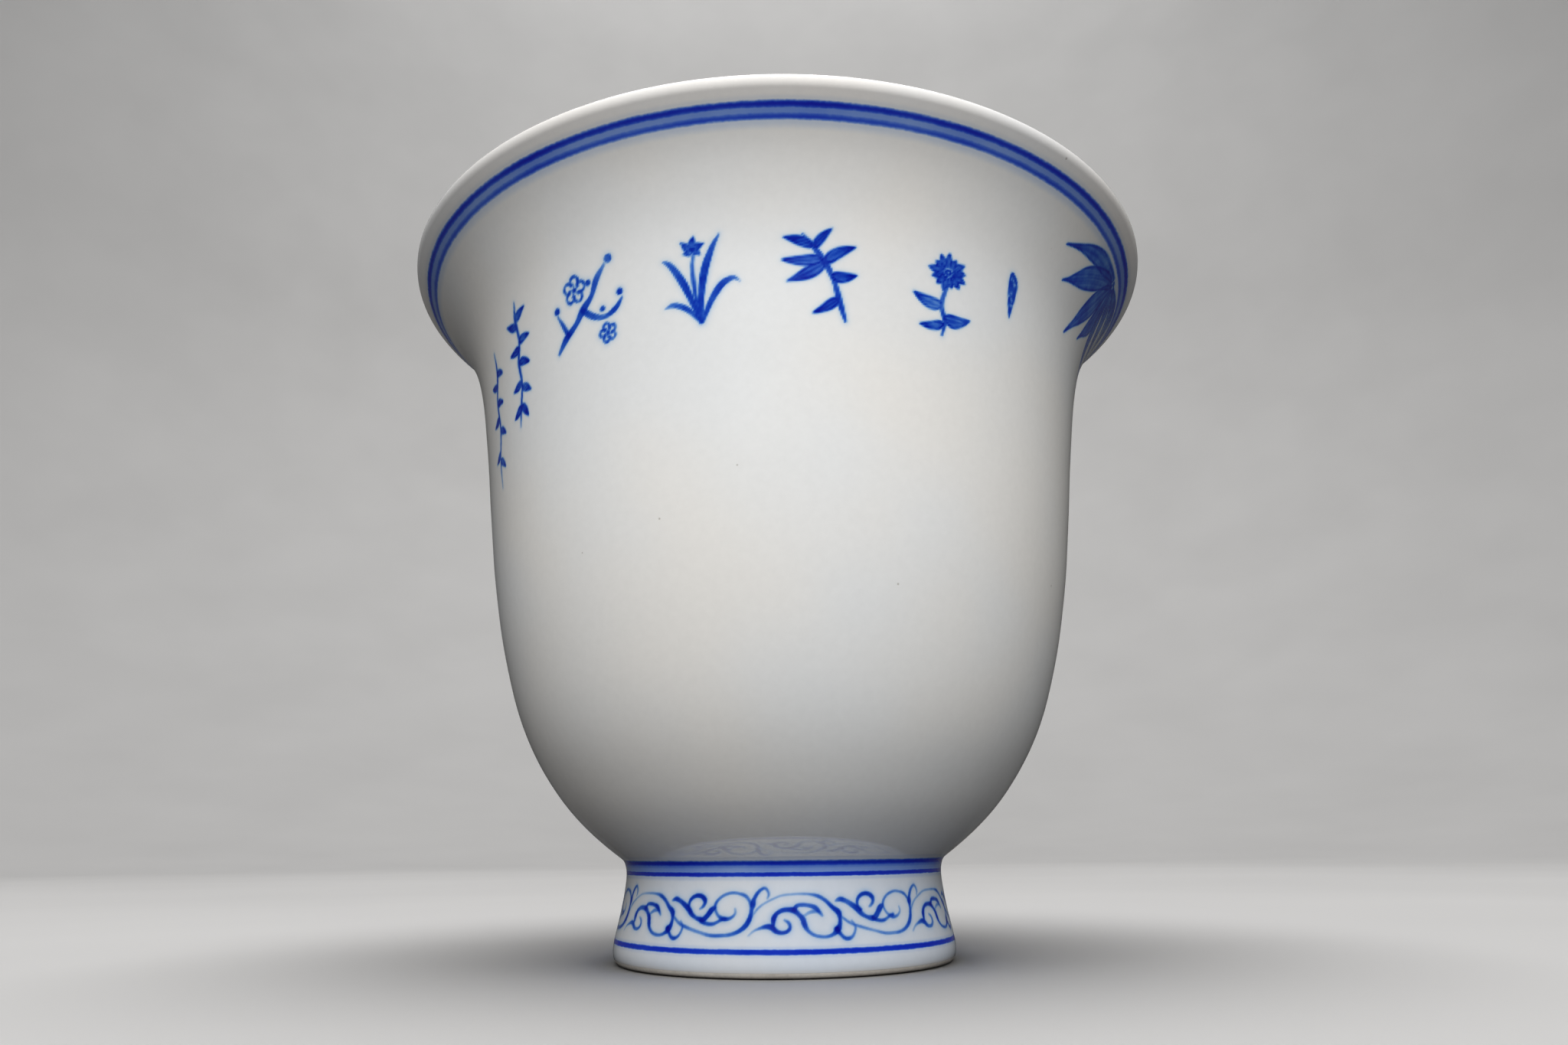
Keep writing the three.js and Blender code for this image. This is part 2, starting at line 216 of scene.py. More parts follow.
def turned(name, runs, phis):
    """A closed solid of revolution. runs: a loop of (points, normals) pieces, each starting
    where the last one ended, with the solid on the left of travel."""
    C = len(phis)
    sin, cos = np.sin(phis), np.cos(phis)
    pts, index = [], []
    for points, _ in runs:
        ids = []
        for k, p in enumerate(points):
            if k == 0 and pts:
                ids.append(len(pts) - 1)
                continue
            pts.append(p)
            ids.append(len(pts) - 1)
        index.append(ids)
    if np.allclose(pts[-1], pts[0], atol=1e-7):
        pts.pop()
        index[-1][-1] = 0
    pts = np.array(pts)
    axis = pts[:, 0] < 1e-7
    start = np.concatenate([[0], np.cumsum(np.where(axis, 1, C))])
    V = np.zeros((start[-1], 3))
    for k, (r, z) in enumerate(pts):
        if axis[k]:
            V[start[k]] = (0, 0, z)
        else:
            rr = r + warp(phis, z)
            V[start[k]:start[k] + C] = np.column_stack([rr * sin, -rr * cos, np.full(C, z)])
    j = np.arange(C)
    jn = (j + 1) % C
    quads, qn, tris, tn = [], [], [], []
    for ids, (_, nrm) in zip(index, runs):
        for k in range(len(ids) - 1):
            a, b = ids[k], ids[k + 1]
            if axis[a] and axis[b]:
                continue
            na = np.column_stack([nrm[k][0] * sin, -nrm[k][0] * cos, np.full(C, nrm[k][1])])
            nb = np.column_stack([nrm[k + 1][0] * sin, -nrm[k + 1][0] * cos, np.full(C, nrm[k + 1][1])])
            if axis[a]:
                tris.append(np.column_stack([np.full(C, start[a]), start[b] + jn, start[b] + j]))
                tn.append(np.stack([na, nb[jn], nb[j]], 1))
            elif axis[b]:
                tris.append(np.column_stack([start[a] + j, start[a] + jn, np.full(C, start[b])]))
                tn.append(np.stack([na[j], na[jn], nb], 1))
            else:
                quads.append(np.column_stack([start[a] + j, start[a] + jn, start[b] + jn, start[b] + j]))
                qn.append(np.stack([na[j], na[jn], nb[jn], nb[j]], 1))
    Q = np.vstack(quads)
    T = np.vstack(tris) if tris else np.zeros((0, 3), int)
    loops = np.concatenate([Q.ravel(), T.ravel()]).astype(np.int32)
    starts = np.concatenate([np.arange(len(Q)) * 4, 4 * len(Q) + np.arange(len(T)) * 3]).astype(np.int32)
    normals = np.vstack([np.concatenate(qn).reshape(-1, 3)] + ([np.concatenate(tn).reshape(-1, 3)] if tris else []))
    me = bpy.data.meshes.new(name)
    me.vertices.add(len(V))
    me.vertices.foreach_set("co", (V * MM).astype(np.float32).ravel())
    me.loops.add(len(loops))
    me.loops.foreach_set("vertex_index", loops)
    me.polygons.add(len(starts))
    me.polygons.foreach_set("loop_start", starts)
    me.update(calc_edges=True)
    me.polygons.foreach_set("use_smooth", np.ones(len(starts), bool))
    me.normals_split_custom_set([tuple(v) for v in normals.tolist()])
    me.update()
    ob = bpy.data.objects.new(name, me)
    bpy.context.scene.collection.objects.link(ob)
    return ob, start


def run_of(points):
    """A run with its own, softened normals, for profiles that aren't on the path."""
    p = np.asarray(points, float)
    d = np.gradient(p, axis=0) if len(p) > 2 else np.repeat((p[1] - p[0])[None], 2, 0)
    d /= np.linalg.norm(d, axis=1)[:, None] + 1e-12
    return p, np.column_stack([d[:, 1], -d[:, 0]])


def under_path(s, depth):
    r, z, nr, nz = at(s)
    return np.column_stack([np.maximum(r - nr * depth, 0), z - nz * depth]), np.column_stack([nr, nz])


def shell(name, s0, s1, ds, phis, depth=GLAZE, dsi=1.2):
    """A skin of glaze under a stretch of the path. Returns the object and its outer rows."""
    so = np.linspace(s0, s1, max(2, int(round((s1 - s0) / ds)) + 1))
    si = np.linspace(s1, s0, max(3, int(round((s1 - s0) / dsi)) + 1))
    po, no = under_path(so, 0)
    pi, ni = under_path(si, depth)
    if s0 <= 0:
        po[0, 0] = pi[-1, 0] = 0
    if s1 >= S_END:
        po[-1, 0] = pi[0, 0] = 0
    ob, start = turned(name, [(po, no), run_of([po[-1], pi[0]]), (pi, -ni), run_of([pi[-1], po[0]])], phis)
    return ob, start, so


# ------------------------------------------------------------------ brushwork
def ramp01(x):
    x = np.clip(x, 0, 1)
    return x * x * (3 - 2 * x)


class Canvas:
    """Cobalt strength on a grid of surface points: x round the cup and y up it, in mm."""

    def __init__(self, xs, ys, around, seed):
        self.xs, self.ys, self.around = xs, ys, around
        self.ink = np.zeros((len(ys), len(xs)))
        self.rng = np.random.default_rng(seed)

    def window(self, lo, hi, margin):
        xc, hx = (lo[0] + hi[0]) / 2, (hi[0] - lo[0]) / 2 + margin
        dx = (self.xs - xc + self.around / 2) % self.around - self.around / 2
        cols = np.where(np.abs(dx) <= hx)[0]
        rows = np.where((self.ys >= lo[1] - margin) & (self.ys <= hi[1] + margin))[0]
        gx, gy = np.meshgrid(xc + dx[cols], self.ys[rows])
        return rows, cols, gx, gy

    def lay(self, rows, cols, a, gain=0.35):
        at_ = np.ix_(rows, cols)
        cur = self.ink[at_]
        self.ink[at_] = np.maximum(cur, a) + gain * np.minimum(cur, a)

    def brush(self, pts, soft=0.075, halo=0.13, per=7, edge=0.0, dark=1.0, width=1.0):
        """A stroke through points (x, y, width, strength)."""
        p = catmull(pts, per)
        rows, cols, gx, gy = self.window(p[:, :2].min(0), p[:, :2].max(0), p[:, 2].max() / 2 * width + 0.8)
        if not len(rows) or not len(cols):
            return
        best = np.full(gx.shape, 1e9)
        bd = np.zeros(gx.shape)
        for q0, q1 in zip(p[:-1], p[1:]):
            d = q1[:2] - q0[:2]
            l2 = d @ d
            if l2 < 1e-12:
                continue
            t = np.clip(((gx - q0[0]) * d[0] + (gy - q0[1]) * d[1]) / l2, 0, 1)
            e = np.hypot(gx - q0[0] - t * d[0], gy - q0[1] - t * d[1]) - (q0[2] + t * (q1[2] - q0[2])) * width / 2
            k = e < best
            best[k] = e[k]
            bd[k] = (q0[3] + t * (q1[3] - q0[3]))[k]
        a = bd * ramp01(0.5 - best / (2 * soft)) * (1 + 0.12 * np.exp(-((best + 0.06) / 0.05) ** 2))
        a = a + halo * bd * np.exp(-(np.maximum(best, 0) / 0.2) ** 1.2) * (best > -0.02)
        if edge:
            a = a + edge * np.exp(-((best + 0.05) / 0.09) ** 2)
        self.lay(rows, cols, a * dark)

    def leaf(self, base, tip, width, bend=0.0, outline=0.95, fill=0.5, blunt=0.85):
        """A pointed leaf with a darker outline and a paler, streaked fill."""
        base, tip = np.array(base, float), np.array(tip, float)
        rows, cols, gx, gy = self.window(np.minimum(base, tip), np.maximum(base, tip), width + abs(bend) + 0.6)
        if not len(rows) or not len(cols):
            return
        d = tip - base
        n = np.linalg.norm(d)
        d /= n
        u = ((gx - base[0]) * d[0] + (gy - base[1]) * d[1]) / n
        v = -(gx - base[0]) * d[1] + (gy - base[1]) * d[0]
        uc = np.clip(u, 0, 1)
        v = v - bend * 4 * uc * (1 - uc)
        h = width / 2 * np.sin(math.pi * uc ** 0.62) ** blunt
        over = np.maximum(np.maximum(-u, u - 1) * n, 0)
        e = np.hypot(np.maximum(np.abs(v) - h, 0), over) + np.minimum(np.abs(v) - h, 0) * (over <= 0)
        ph = self.rng.uniform(0, 6.28)
        streak = 1 + 0.16 * np.sin(v * 11 + ph + 1.5 * np.sin(3 * u + ph)) + 0.1 * np.sin(v * 23 + 2 * ph)
        a = fill * (0.75 + 0.55 * uc ** 2) * streak * ramp01(0.5 - e / 0.14)
        a = a + outline * np.exp(-((e + 0.02) / 0.11) ** 2) * (0.75 + 0.25 * np.cos(9 * u + ph))
        a = a + 0.3 * outline * np.exp(-(v / 0.09) ** 2) * (uc > 0.06) * (uc < 0.8) * (over <= 0)
        a = a + 0.10 * outline * np.exp(-(np.maximum(e, 0) / 0.2) ** 1.2)
        self.lay(rows, cols, a, 0.2)

    def blade(self, pts, outline=0.66, fill=0.58, dark=1.0):
        """A leaf along a curved midline of (x, y, width): outlined, with a streaked fill and a midrib."""
        p = catmull(pts, 8)
        rows, cols, gx, gy = self.window(p[:, :2].min(0), p[:, :2].max(0), p[:, 2].max() / 2 + 0.8)
        if not len(rows) or not len(cols):
            return
        best, side, along = np.full(gx.shape, 1e9), np.zeros(gx.shape), np.zeros(gx.shape)
        for i, (q0, q1) in enumerate(zip(p[:-1], p[1:])):
            d = q1[:2] - q0[:2]
            l2 = d @ d
            if l2 < 1e-12:
                continue
            t = np.clip(((gx - q0[0]) * d[0] + (gy - q0[1]) * d[1]) / l2, 0, 1)
            e = np.hypot(gx - q0[0] - t * d[0], gy - q0[1] - t * d[1]) - (q0[2] + t * (q1[2] - q0[2])) / 2
            k = e < best
            best[k] = e[k]
            side[k] = ((-(gx - q0[0]) * d[1] + (gy - q0[1]) * d[0]) / math.sqrt(l2))[k]
            along[k] = ((i + t) / (len(p) - 1))[k]
        ph = self.rng.uniform(0, 6.28)
        streak = 1 + 0.15 * np.sin(side * 9 + ph + 1.5 * np.sin(4 * along + ph)) + 0.1 * np.sin(side * 21 + 2 * ph)
        a = fill * (0.85 + 0.35 * along) * streak * ramp01(0.5 - best / 0.14)
        a = a + outline * np.exp(-((best + 0.05) / 0.11) ** 2) * (0.8 + 0.2 * np.cos(8 * along + ph))
        a = a + 0.28 * outline * np.exp(-(side / 0.09) ** 2) * (best < -0.1)
        a = a + 0.10 * outline * np.exp(-(np.maximum(best, 0) / 0.2) ** 1.2)
        self.lay(rows, cols, a * dark, 0.2)

    def dot(self, x, y, r, strength=0.9):
        self.brush([(x - 0.02, y, 2 * r, strength), (x + 0.02, y, 2 * r, strength)], per=1)


# The scrolling vine: one repeat, x from the start of the repeat and z, in mm.
SCROLL = {
    "stem_under": [(0.27, 4.8, 0.2, 0.45), (1.13, 4.2, 0.24, 0.5), (2.24, 3.82, 0.26, 0.5), (3.32, 3.55, 0.25, 0.45), (4.33, 3.34, 0.26, 0.5), (5.27, 3.34, 0.27, 0.55), (6.17, 3.45, 0.28, 0.65), (6.82, 3.7, 0.32, 0.75), (7.3, 4.05, 0.4, 0.85), (7.62, 4.5, 0.4, 0.85), (7.81, 5.11, 0.33, 0.75), (7.8, 5.61, 0.27, 0.65), (7.61, 6.07, 0.24, 0.6), (7.25, 6.43, 0.27, 0.6), (6.67, 6.61, 0.22, 0.5), (6.08, 6.67, 0.22, 0.5), (5.48, 6.53, 0.24, 0.55), (5, 6.27, 0.24, 0.55), (4.66, 5.91, 0.24, 0.6), (4.54, 5.55, 0.26, 0.7), (4.67, 5.19, 0.22, 0.55), (4.95, 4.84, 0.24, 0.6), (5.38, 4.64, 0.34, 0.85), (5.85, 4.64, 0.28, 0.6), (6.24, 4.83, 0.22, 0.45), (6.43, 5.11, 0.2, 0.35), (6.38, 5.41, 0.16, 0.25)],
    "stem_over": [(0.02, 6.03, 0.2, 0.4), (0.43, 6.14, 0.36, 0.8), (0.91, 5.99, 0.34, 0.75), (1.45, 5.69, 0.4, 0.85), (1.93, 5.36, 0.46, 0.95), (2.26, 5, 0.38, 0.85), (2.77, 4.68, 0.28, 0.75), (3.24, 4.56, 0.4, 0.95), (3.5, 4.54, 0.44, 1), (3.9, 4.88, 0.42, 1), (4.26, 5.32, 0.46, 1.05), (4.55, 5.5, 0.3, 0.8)],
    "curl_small": [(2.2, 5.16, 0.3, 0.8), (1.95, 5.54, 0.24, 0.65), (1.99, 5.96, 0.26, 0.7), (2.31, 6.3, 0.3, 0.8), (2.78, 6.44, 0.32, 0.85), (3.22, 6.36, 0.36, 0.85), (3.52, 6.11, 0.38, 0.9), (3.54, 5.82, 0.3, 0.7), (3.35, 5.54, 0.24, 0.5), (3.13, 5.4, 0.18, 0.3)],
    "lens_under": [(3.35, 4.46, 0.4, 1), (3.72, 4.29, 0.32, 0.8), (4.1, 4.21, 0.28, 0.7), (4.49, 4.23, 0.28, 0.65), (4.87, 4.38, 0.24, 0.55), (5.21, 4.56, 0.26, 0.7), (5.56, 4.63, 0.28, 0.7)],
    "leaf_up": [(7.93, 5.51, 0.3, 0.7), (7.92, 5.79, 0.5, 1), (8.03, 6.17, 0.32, 0.85), (8.29, 6.61, 0.28, 0.8), (8.63, 6.92, 0.24, 0.65), (8.94, 7.03, 0.22, 0.55), (9.18, 6.84, 0.2, 0.5), (9.28, 6.53, 0.18, 0.45), (9.18, 6.22, 0.14, 0.3)],
    "arch_over": [(8.03, 5.01, 0.16, 0.25), (8.24, 5.31, 0.18, 0.3), (8.68, 5.69, 0.18, 0.3), (9.23, 5.99, 0.16, 0.28), (9.67, 6.19, 0.16, 0.28), (10.34, 6.43, 0.16, 0.26), (11.24, 6.53, 0.16, 0.26), (12.14, 6.55, 0.18, 0.32), (12.93, 6.49, 0.2, 0.45), (13.49, 6.36, 0.28, 0.7), (14.1, 6.03, 0.28, 0.7), (14.7, 5.48, 0.32, 0.8), (15.24, 5.03, 0.46, 1), (15.31, 4.6, 0.3, 0.8), (15.27, 4.15, 0.34, 0.85), (15.06, 3.73, 0.5, 1.05), (14.69, 3.42, 0.3, 0.7), (14.23, 3.24, 0.24, 0.55), (13.63, 3.22, 0.24, 0.55), (12.99, 3.38, 0.24, 0.6), (12.52, 3.72, 0.28, 0.7), (12.29, 4.12, 0.42, 0.95), (12.12, 4.62, 0.42, 0.95), (11.81, 4.95, 0.34, 0.85), (11.41, 5.27, 0.44, 1), (10.99, 5.33, 0.36, 0.9), (10.45, 5.29, 0.34, 0.85), (9.98, 5.05, 0.32, 0.85), (9.71, 4.65, 0.4, 1), (9.66, 4.2, 0.3, 0.8)],
    "tail": [(7.65, 3.36, 0.14, 0.2), (8.07, 3.71, 0.16, 0.3), (8.61, 3.93, 0.22, 0.55), (9.15, 4.05, 0.36, 0.9), (9.55, 3.98, 0.44, 1), (9.85, 3.73, 0.36, 0.9), (10.22, 3.58, 0.28, 0.75), (10.7, 3.61, 0.26, 0.7), (11.02, 3.84, 0.26, 0.7), (11.05, 4.14, 0.24, 0.6), (10.87, 4.39, 0.22, 0.5), (10.6, 4.54, 0.16, 0.3)],
    "lens_over": [(11.41, 5.29, 0.4, 0.95), (11.69, 5.63, 0.3, 0.75), (12.16, 5.69, 0.3, 0.75), (12.72, 5.63, 0.3, 0.75), (13.21, 5.46, 0.38, 0.9), (13.53, 5.15, 0.3, 0.7), (13.79, 4.84, 0.2, 0.35)],
    "lens_fill": [(12.3, 4.87, 0.2, 0.3), (12.64, 5.06, 0.26, 0.35), (13.09, 5.18, 0.3, 0.4), (13.45, 5.18, 0.26, 0.4)],
    "leaf_down": [(14.97, 3.75, 0.5, 1.05), (15.25, 3.4, 0.28, 0.75), (15.56, 3.1, 0.28, 0.75), (15.86, 3.02, 0.3, 0.8), (16.26, 3.16, 0.24, 0.6), (16.55, 3.55, 0.2, 0.5), (16.63, 3.93, 0.2, 0.5), (16.35, 4.37, 0.16, 0.35)],
}
SCROLL_CELL = 15.08
# where each of the seven repeats starts, degrees from the front: a little uneven, as brushed by hand
SCROLL_STARTS = [-38.5, 16.3, 70.6, 120.2, 169.0, 218.3, 267.3]


def paint_foot(cv):
    starts = SCROLL_STARTS + [SCROLL_STARTS[0] + 360]
    rng = np.random.default_rng(77)
    for k in range(7):
        stretch = (starts[k + 1] - starts[k]) * DEG * 15.75 / SCROLL_CELL
        first = k in (0,)
        for pts in SCROLL.values():
            p = np.array(pts, float)
            jit = 0.0 if first else 0.055
            a1, a2, a3 = rng.uniform(-1, 1, 3)
            p[:, 1] += jit * (a1 + a2 * np.sin(p[:, 0] * 0.7 + 5 * a3))
            p[:, 0] = starts[k] * DEG * 15.75 + p[:, 0] * stretch + jit * a3
            p[:, 2] *= 1.0 if first else 1 + 0.14 * a2
            p[:, 3] *= 1.0 if first else 1 + 0.16 * a1
            p[:, 2] *= 0.86
            p[:, 3] = 1.12 * p[:, 3] ** 1.15
            cv.brush(p, soft=0.08, halo=0.13, per=6)


def paint_belt(cv):
    """Generic brush sprigs where the cup is painted: blossom, orchid, leaves, daisy, a drooping
    twig, a small dab, and a bamboo that goes round the side and back."""
    def pos(phi, z):
        return 32.4 * phi * DEG, station(z, "wall")

    def local(phi, z, scale=1.0, flip=1):
        x0, y0 = pos(phi, z)
        return lambda pts: [(x0 + flip * scale * q[0], y0 + scale * q[1]) + tuple(q[2:]) for q in pts]

    # blossom twig
    m = local(-31.2, 55.4, 1.0)
    cv.brush(m([(-3.7, -3.4, .30, .75), (-2.7, -2.3, .62, .95), (-1.4, -1.35, .48, .8), (-0.5, -0.3, .66, 1.0), (0.6, 0.7, .42, .8), (1.3, 2.0, .55, .95), (2.3, 3.1, .2, .6)]))
    cv.brush(m([(-0.5, -0.35, .5, .9), (0.7, -1.2, .5, .9), (1.9, -1.5, .34, .75), (3.1, -1.0, .42, .9), (3.8, -0.2, .14, .5)]))
    cv.brush(m([(-2.4, -2.1, .4, .85), (-3.0, -1.0, .34, .75), (-3.6, 0.0, .12, .5)]))
    for cx, cy, rad, turn in ((-1.25, 1.75, 0.78, 0.2), (2.15, -3.0, 0.55, 0.6)):
        for i in range(5):
            a = turn + i * 2 * math.pi / 5
            c = (cx + rad * math.cos(a), cy + rad * math.sin(a))
            ring = [(c[0] + 0.56 * rad * math.cos(t + a), c[1] + 0.56 * rad * math.sin(t + a), .22, .8 + .2 * math.sin(3 * t)) for t in np.linspace(-2.3, 2.3, 9)]
            cv.brush(m(ring))
            cv.brush(m([(cx, cy, .12, .5), (cx + 0.8 * rad * math.cos(a + .3), cy + 0.8 * rad * math.sin(a + .3), .13, .75)]), per=2)
        x, y = m([(cx, cy)])[0]
        cv.dot(x, y, 0.17, 1.0)
    for bx, by, rr in ((2.75, 3.5, .34), (3.6, 0.35, .26), (-3.6, 0.5, .28), (0.35, 1.95, .24), (1.7, -0.75, .22)):
        x, y = m([(bx, by)])[0]
        cv.dot(x, y, rr, 0.95)

    # orchid tuft
    m = local(-11.7, 55.4, 0.95)
    for blade in (
        [(0.0, -3.9, .24, .8), (-0.7, -2.0, .42, .95), (-1.7, 0.2, .56, 1.0), (-2.8, 1.8, .34, .85), (-3.3, 2.1, .12, .5)],
        [(0.1, -3.9, .24, .8), (0.1, -1.6, .44, .95), (0.5, 0.9, .60, 1.0), (1.3, 2.9, .36, .85), (1.9, 3.9, .12, .5)],
        [(0.2, -3.8, .24, .8), (1.0, -2.0, .44, .9), (2.1, -0.5, .52, 1.0), (3.1, -0.1, .26, .8), (3.6, -0.4, .1, .4)],
        [(-0.1, -3.7, .22, .8), (-1.3, -2.5, .40, .9), (-2.6, -2.0, .34, .85), (-3.3, -2.2, .1, .4)],
        [(0.0, -3.6, .2, .7), (-0.5, -0.8, .28, .8), (-0.6, 1.4, .26, .8), (-0.5, 2.2, .2, .7)]):
        cv.brush(m(blade))
    for tip in ((-1.5, 3.5), (-0.4, 3.9), (0.45, 3.2), (-1.35, 2.5), (0.1, 2.3)):
        x0, y0 = m([(-0.55, 2.75)])[0]
        x1, y1 = m([tip])[0]
        cv.leaf((x0, y0), (x1, y1), 0.55, 0.06, .75, .6)
    x, y = m([(-0.55, 2.75)])[0]
    cv.dot(x, y, 0.16, 1.0)

    # spray of leaves
    m = local(6.2, 55.4, 1.0)
    cv.brush(m([(2.2, -3.8, .18, .7), (1.7, -2.2, .44, .95), (1.2, -0.4, .34, .8), (0.3, 1.3, .46, .95), (-0.7, 2.6, .3, .8), (-1.5, 3.5, .12, .5)]))
    for bx, by, tx, ty, w, bend in (
        (0.4, 1.1, -2.7, -0.5, .95, .16), (0.2, 1.4, -3.1, 1.3, .85, .12), (-0.6, 2.5, -3.0, 3.2, .7, -.1),
        (0.4, 1.2, 2.9, 2.6, .85, .18), (1.0, 0.0, 3.1, 0.2, .8, -.14), (-0.5, 2.4, 0.9, 4.0, .62, .1), (1.6, -1.9, -0.5, -3.2, .7, .1)):
        p0, p1 = m([(bx, by), (tx, ty)])
        cv.leaf(p0, p1, w, bend, .95, .85)

    # daisy
    m = local(26.1, 55.6, 1.0)
    cv.brush(m([(0.35, 0.6, .3, .85), (-0.15, -1.2, .4, .95), (0.25, -2.7, .34, .85), (0.0, -3.9, .16, .6)]))
    for i in range(13):
        a = 0.15 + i * 2 * math.pi / 13
        r0, r1 = 0.5, 1.75 + 0.22 * math.sin(2.3 * i)
        p0, p1 = m([(0.35 + r0 * math.cos(a), 1.75 + 0.86 * r0 * math.sin(a)), (0.35 + r1 * math.cos(a), 1.75 + 0.86 * r1 * math.sin(a))])
        cv.leaf(p0, p1, 0.62, 0.03, .75, .45, 0.6)
    for i in range(6):
        x, y = m([(0.35 + 0.24 * math.cos(i * 1.1), 1.75 + 0.2 * math.sin(i * 1.1))])[0]
        cv.dot(x, y, 0.11, 0.95)
    for bx, by, tx, ty, w, bend in ((-0.1, -1.3, -2.9, -0.6, 1.0, .25), (0.2, -2.4, 2.9, -2.0, 1.05, -.25), (0.1, -2.9, -2.2, -3.3, .7, .15)):
        p0, p1 = m([(bx, by), (tx, ty)])
        cv.leaf(p0, p1, w, bend, .9, .7)

    # small leaf-shaped dab with paler specks
    m = local(40.1, 57.4, 1.0)
    cv.brush(m([(-0.30, 1.85, .5, 1.0), (-0.06, 1.2, 1.12, 1.1), (-0.02, 0.5, 1.08, 1.05), (-0.03, -0.5, .78, 1.05), (-0.07, -1.3, .42, 1.1), (-0.08, -1.95, .14, .8)]), halo=0.1)
    rng = np.random.default_rng(5)
    rows, cols, gx, gy = cv.window(np.array(m([(-0.5, -1.9)])[0]), np.array(m([(0.5, 1.9)])[0]), 0)
    holes = np.zeros(gx.shape)
    for _ in range(13):
        x, y = m([(rng.uniform(-.38, .3), rng.uniform(-1.0, 1.5))])[0]
        holes = np.maximum(holes, np.exp(-(((gx - x) / 0.13) ** 2 + ((gy - y) / 0.17) ** 2)))
    cv.ink[np.ix_(rows, cols)] *= 1 - 0.68 * holes

    # drooping twigs at the left
    m = local(-49.3, 52.8, 1.0)
    cv.brush(m([(0.6, 6.3, .14, .5), (0.2, 4.6, .40, .9), (0.45, 2.6, .30, .8), (0.0, 0.6, .38, .9), (0.35, -1.6, .28, .8), (-0.1, -3.8, .30, .8), (-0.4, -5.6, .1, .4)]))
    for bx, by, tx, ty in ((0.25, 4.6, 2.0, 5.4), (0.35, 4.0, -1.5, 4.6), (0.4, 2.5, 2.2, 2.7), (0.3, 1.9, -1.5, 1.7), (0.1, 0.6, 1.9, 0.1),
                           (0.25, -1.4, -1.4, -1.9), (0.3, -1.9, 1.9, -2.6), (-0.1, -3.7, -1.5, -4.5), (0.0, -3.6, 1.2, -4.9)):
        p0, p1 = m([(bx, by), (tx, ty)])
        cv.leaf(p0, p1, .66, .08, .9, .75)
    m = local(-59.5, 49.9, 1.0)
    cv.brush(m([(0.3, 6.6, .14, .5), (0.5, 4.4, .36, .9), (-0.1, 1.6, .30, .8), (0.3, -1.2, .34, .85), (-0.2, -4.2, .28, .8), (0.1, -7.0, .1, .4)]))
    for bx, by, tx, ty in ((0.45, 4.4, 2.0, 4.0), (0.3, 3.2, -1.4, 3.5), (-0.1, 1.5, 1.5, 1.2), (0.1, 0.0, -1.5, -0.5), (0.25, -1.3, 1.8, -2.0),
                           (-0.1, -3.4, -1.5, -4.2), (-0.15, -4.2, 1.3, -5.2)):
        p0, p1 = m([(bx, by), (tx, ty)])
        cv.leaf(p0, p1, .6, .08, .9, .75)

    # bamboo: canes, side branches and leaf clusters, round the right side and the back
    def cane(p, w):
        p = [pos(*q) for q in p]
        for k in range(len(p) - 1):
            (x0, y0), (x1, y1) = p[k], p[k + 1]
            dx, dy = x1 - x0, y1 - y0
            n = math.hypot(dx, dy)
            f = 0.22 / n
            a0, a1 = (x0 + dx * f, y0 + dy * f), (x1 - dx * f, y1 - dy * f)
            mid = ((a0[0] + a1[0]) / 2 + 0.05 * dy / n, (a0[1] + a1[1]) / 2)
            cv.brush([(*a0, w * 1.1, .36), (*mid, w * .92, .24), (*a1, w * 1.12, .40)], soft=0.1, halo=0.06, edge=0.72)
            nx, ny = -dy / n * w * .62, dx / n * w * .62
            cv.brush([(x1 - nx, y1 - ny, .2, .7), (x1, y1 - 0.08, .34, 1.0), (x1 + nx, y1 + ny, .2, .7)])

    cane([(128, 40.6), (124, 45.5), (119.5, 50.4), (114.5, 55.2), (109, 59.8), (103, 64.6)], 1.75)
    cane([(168, 40.8), (170.5, 45.2), (173.5, 49.8), (177, 54.3), (181.5, 58.9), (187, 63.6)], 1.35)

    def twig(*q, w=.42):
        p = [pos(*v) for v in q]
        n = len(p)
        cv.brush([(x, y, w * (1 - .5 * i / (n - 1)), .9) for i, (x, y) in enumerate(p)])

    twig((114.5, 55.2), (103, 60.2), (88, 64.2), (69.5, 65.9))
    twig((119.5, 50.4), (108, 51.5), (98, 51.0), (92, 49.2))
    twig((124, 45.5), (133, 50.5), (141, 54.5), (146, 59.0))
    twig((173.5, 49.8), (162, 54.0), (154, 56.0))
    twig((177, 54.3), (190, 56.5), (199, 56.0))
    twig((170.5, 45.2), (182, 46.8), (190, 45.0))
    twig((109, 59.8), (116, 62.4), (124, 63.8))

    def cluster(phi, z, tips, w=1.9, outline=.95, fill=.55):
        x0, y0 = pos(phi, z)
        for i, (tp, tz, k) in enumerate(tips):
            x1, y1 = pos(tp, tz)
            cv.leaf((x0, y0), (x1, y1), w * k, 0.35 * (-1) ** i * k, outline, fill)

    def blades(leaves, scale=1.0, **kw):
        for leaf in leaves:
            cv.blade([pos(*q[:2]) + (q[2] * scale,) for q in leaf], **kw)

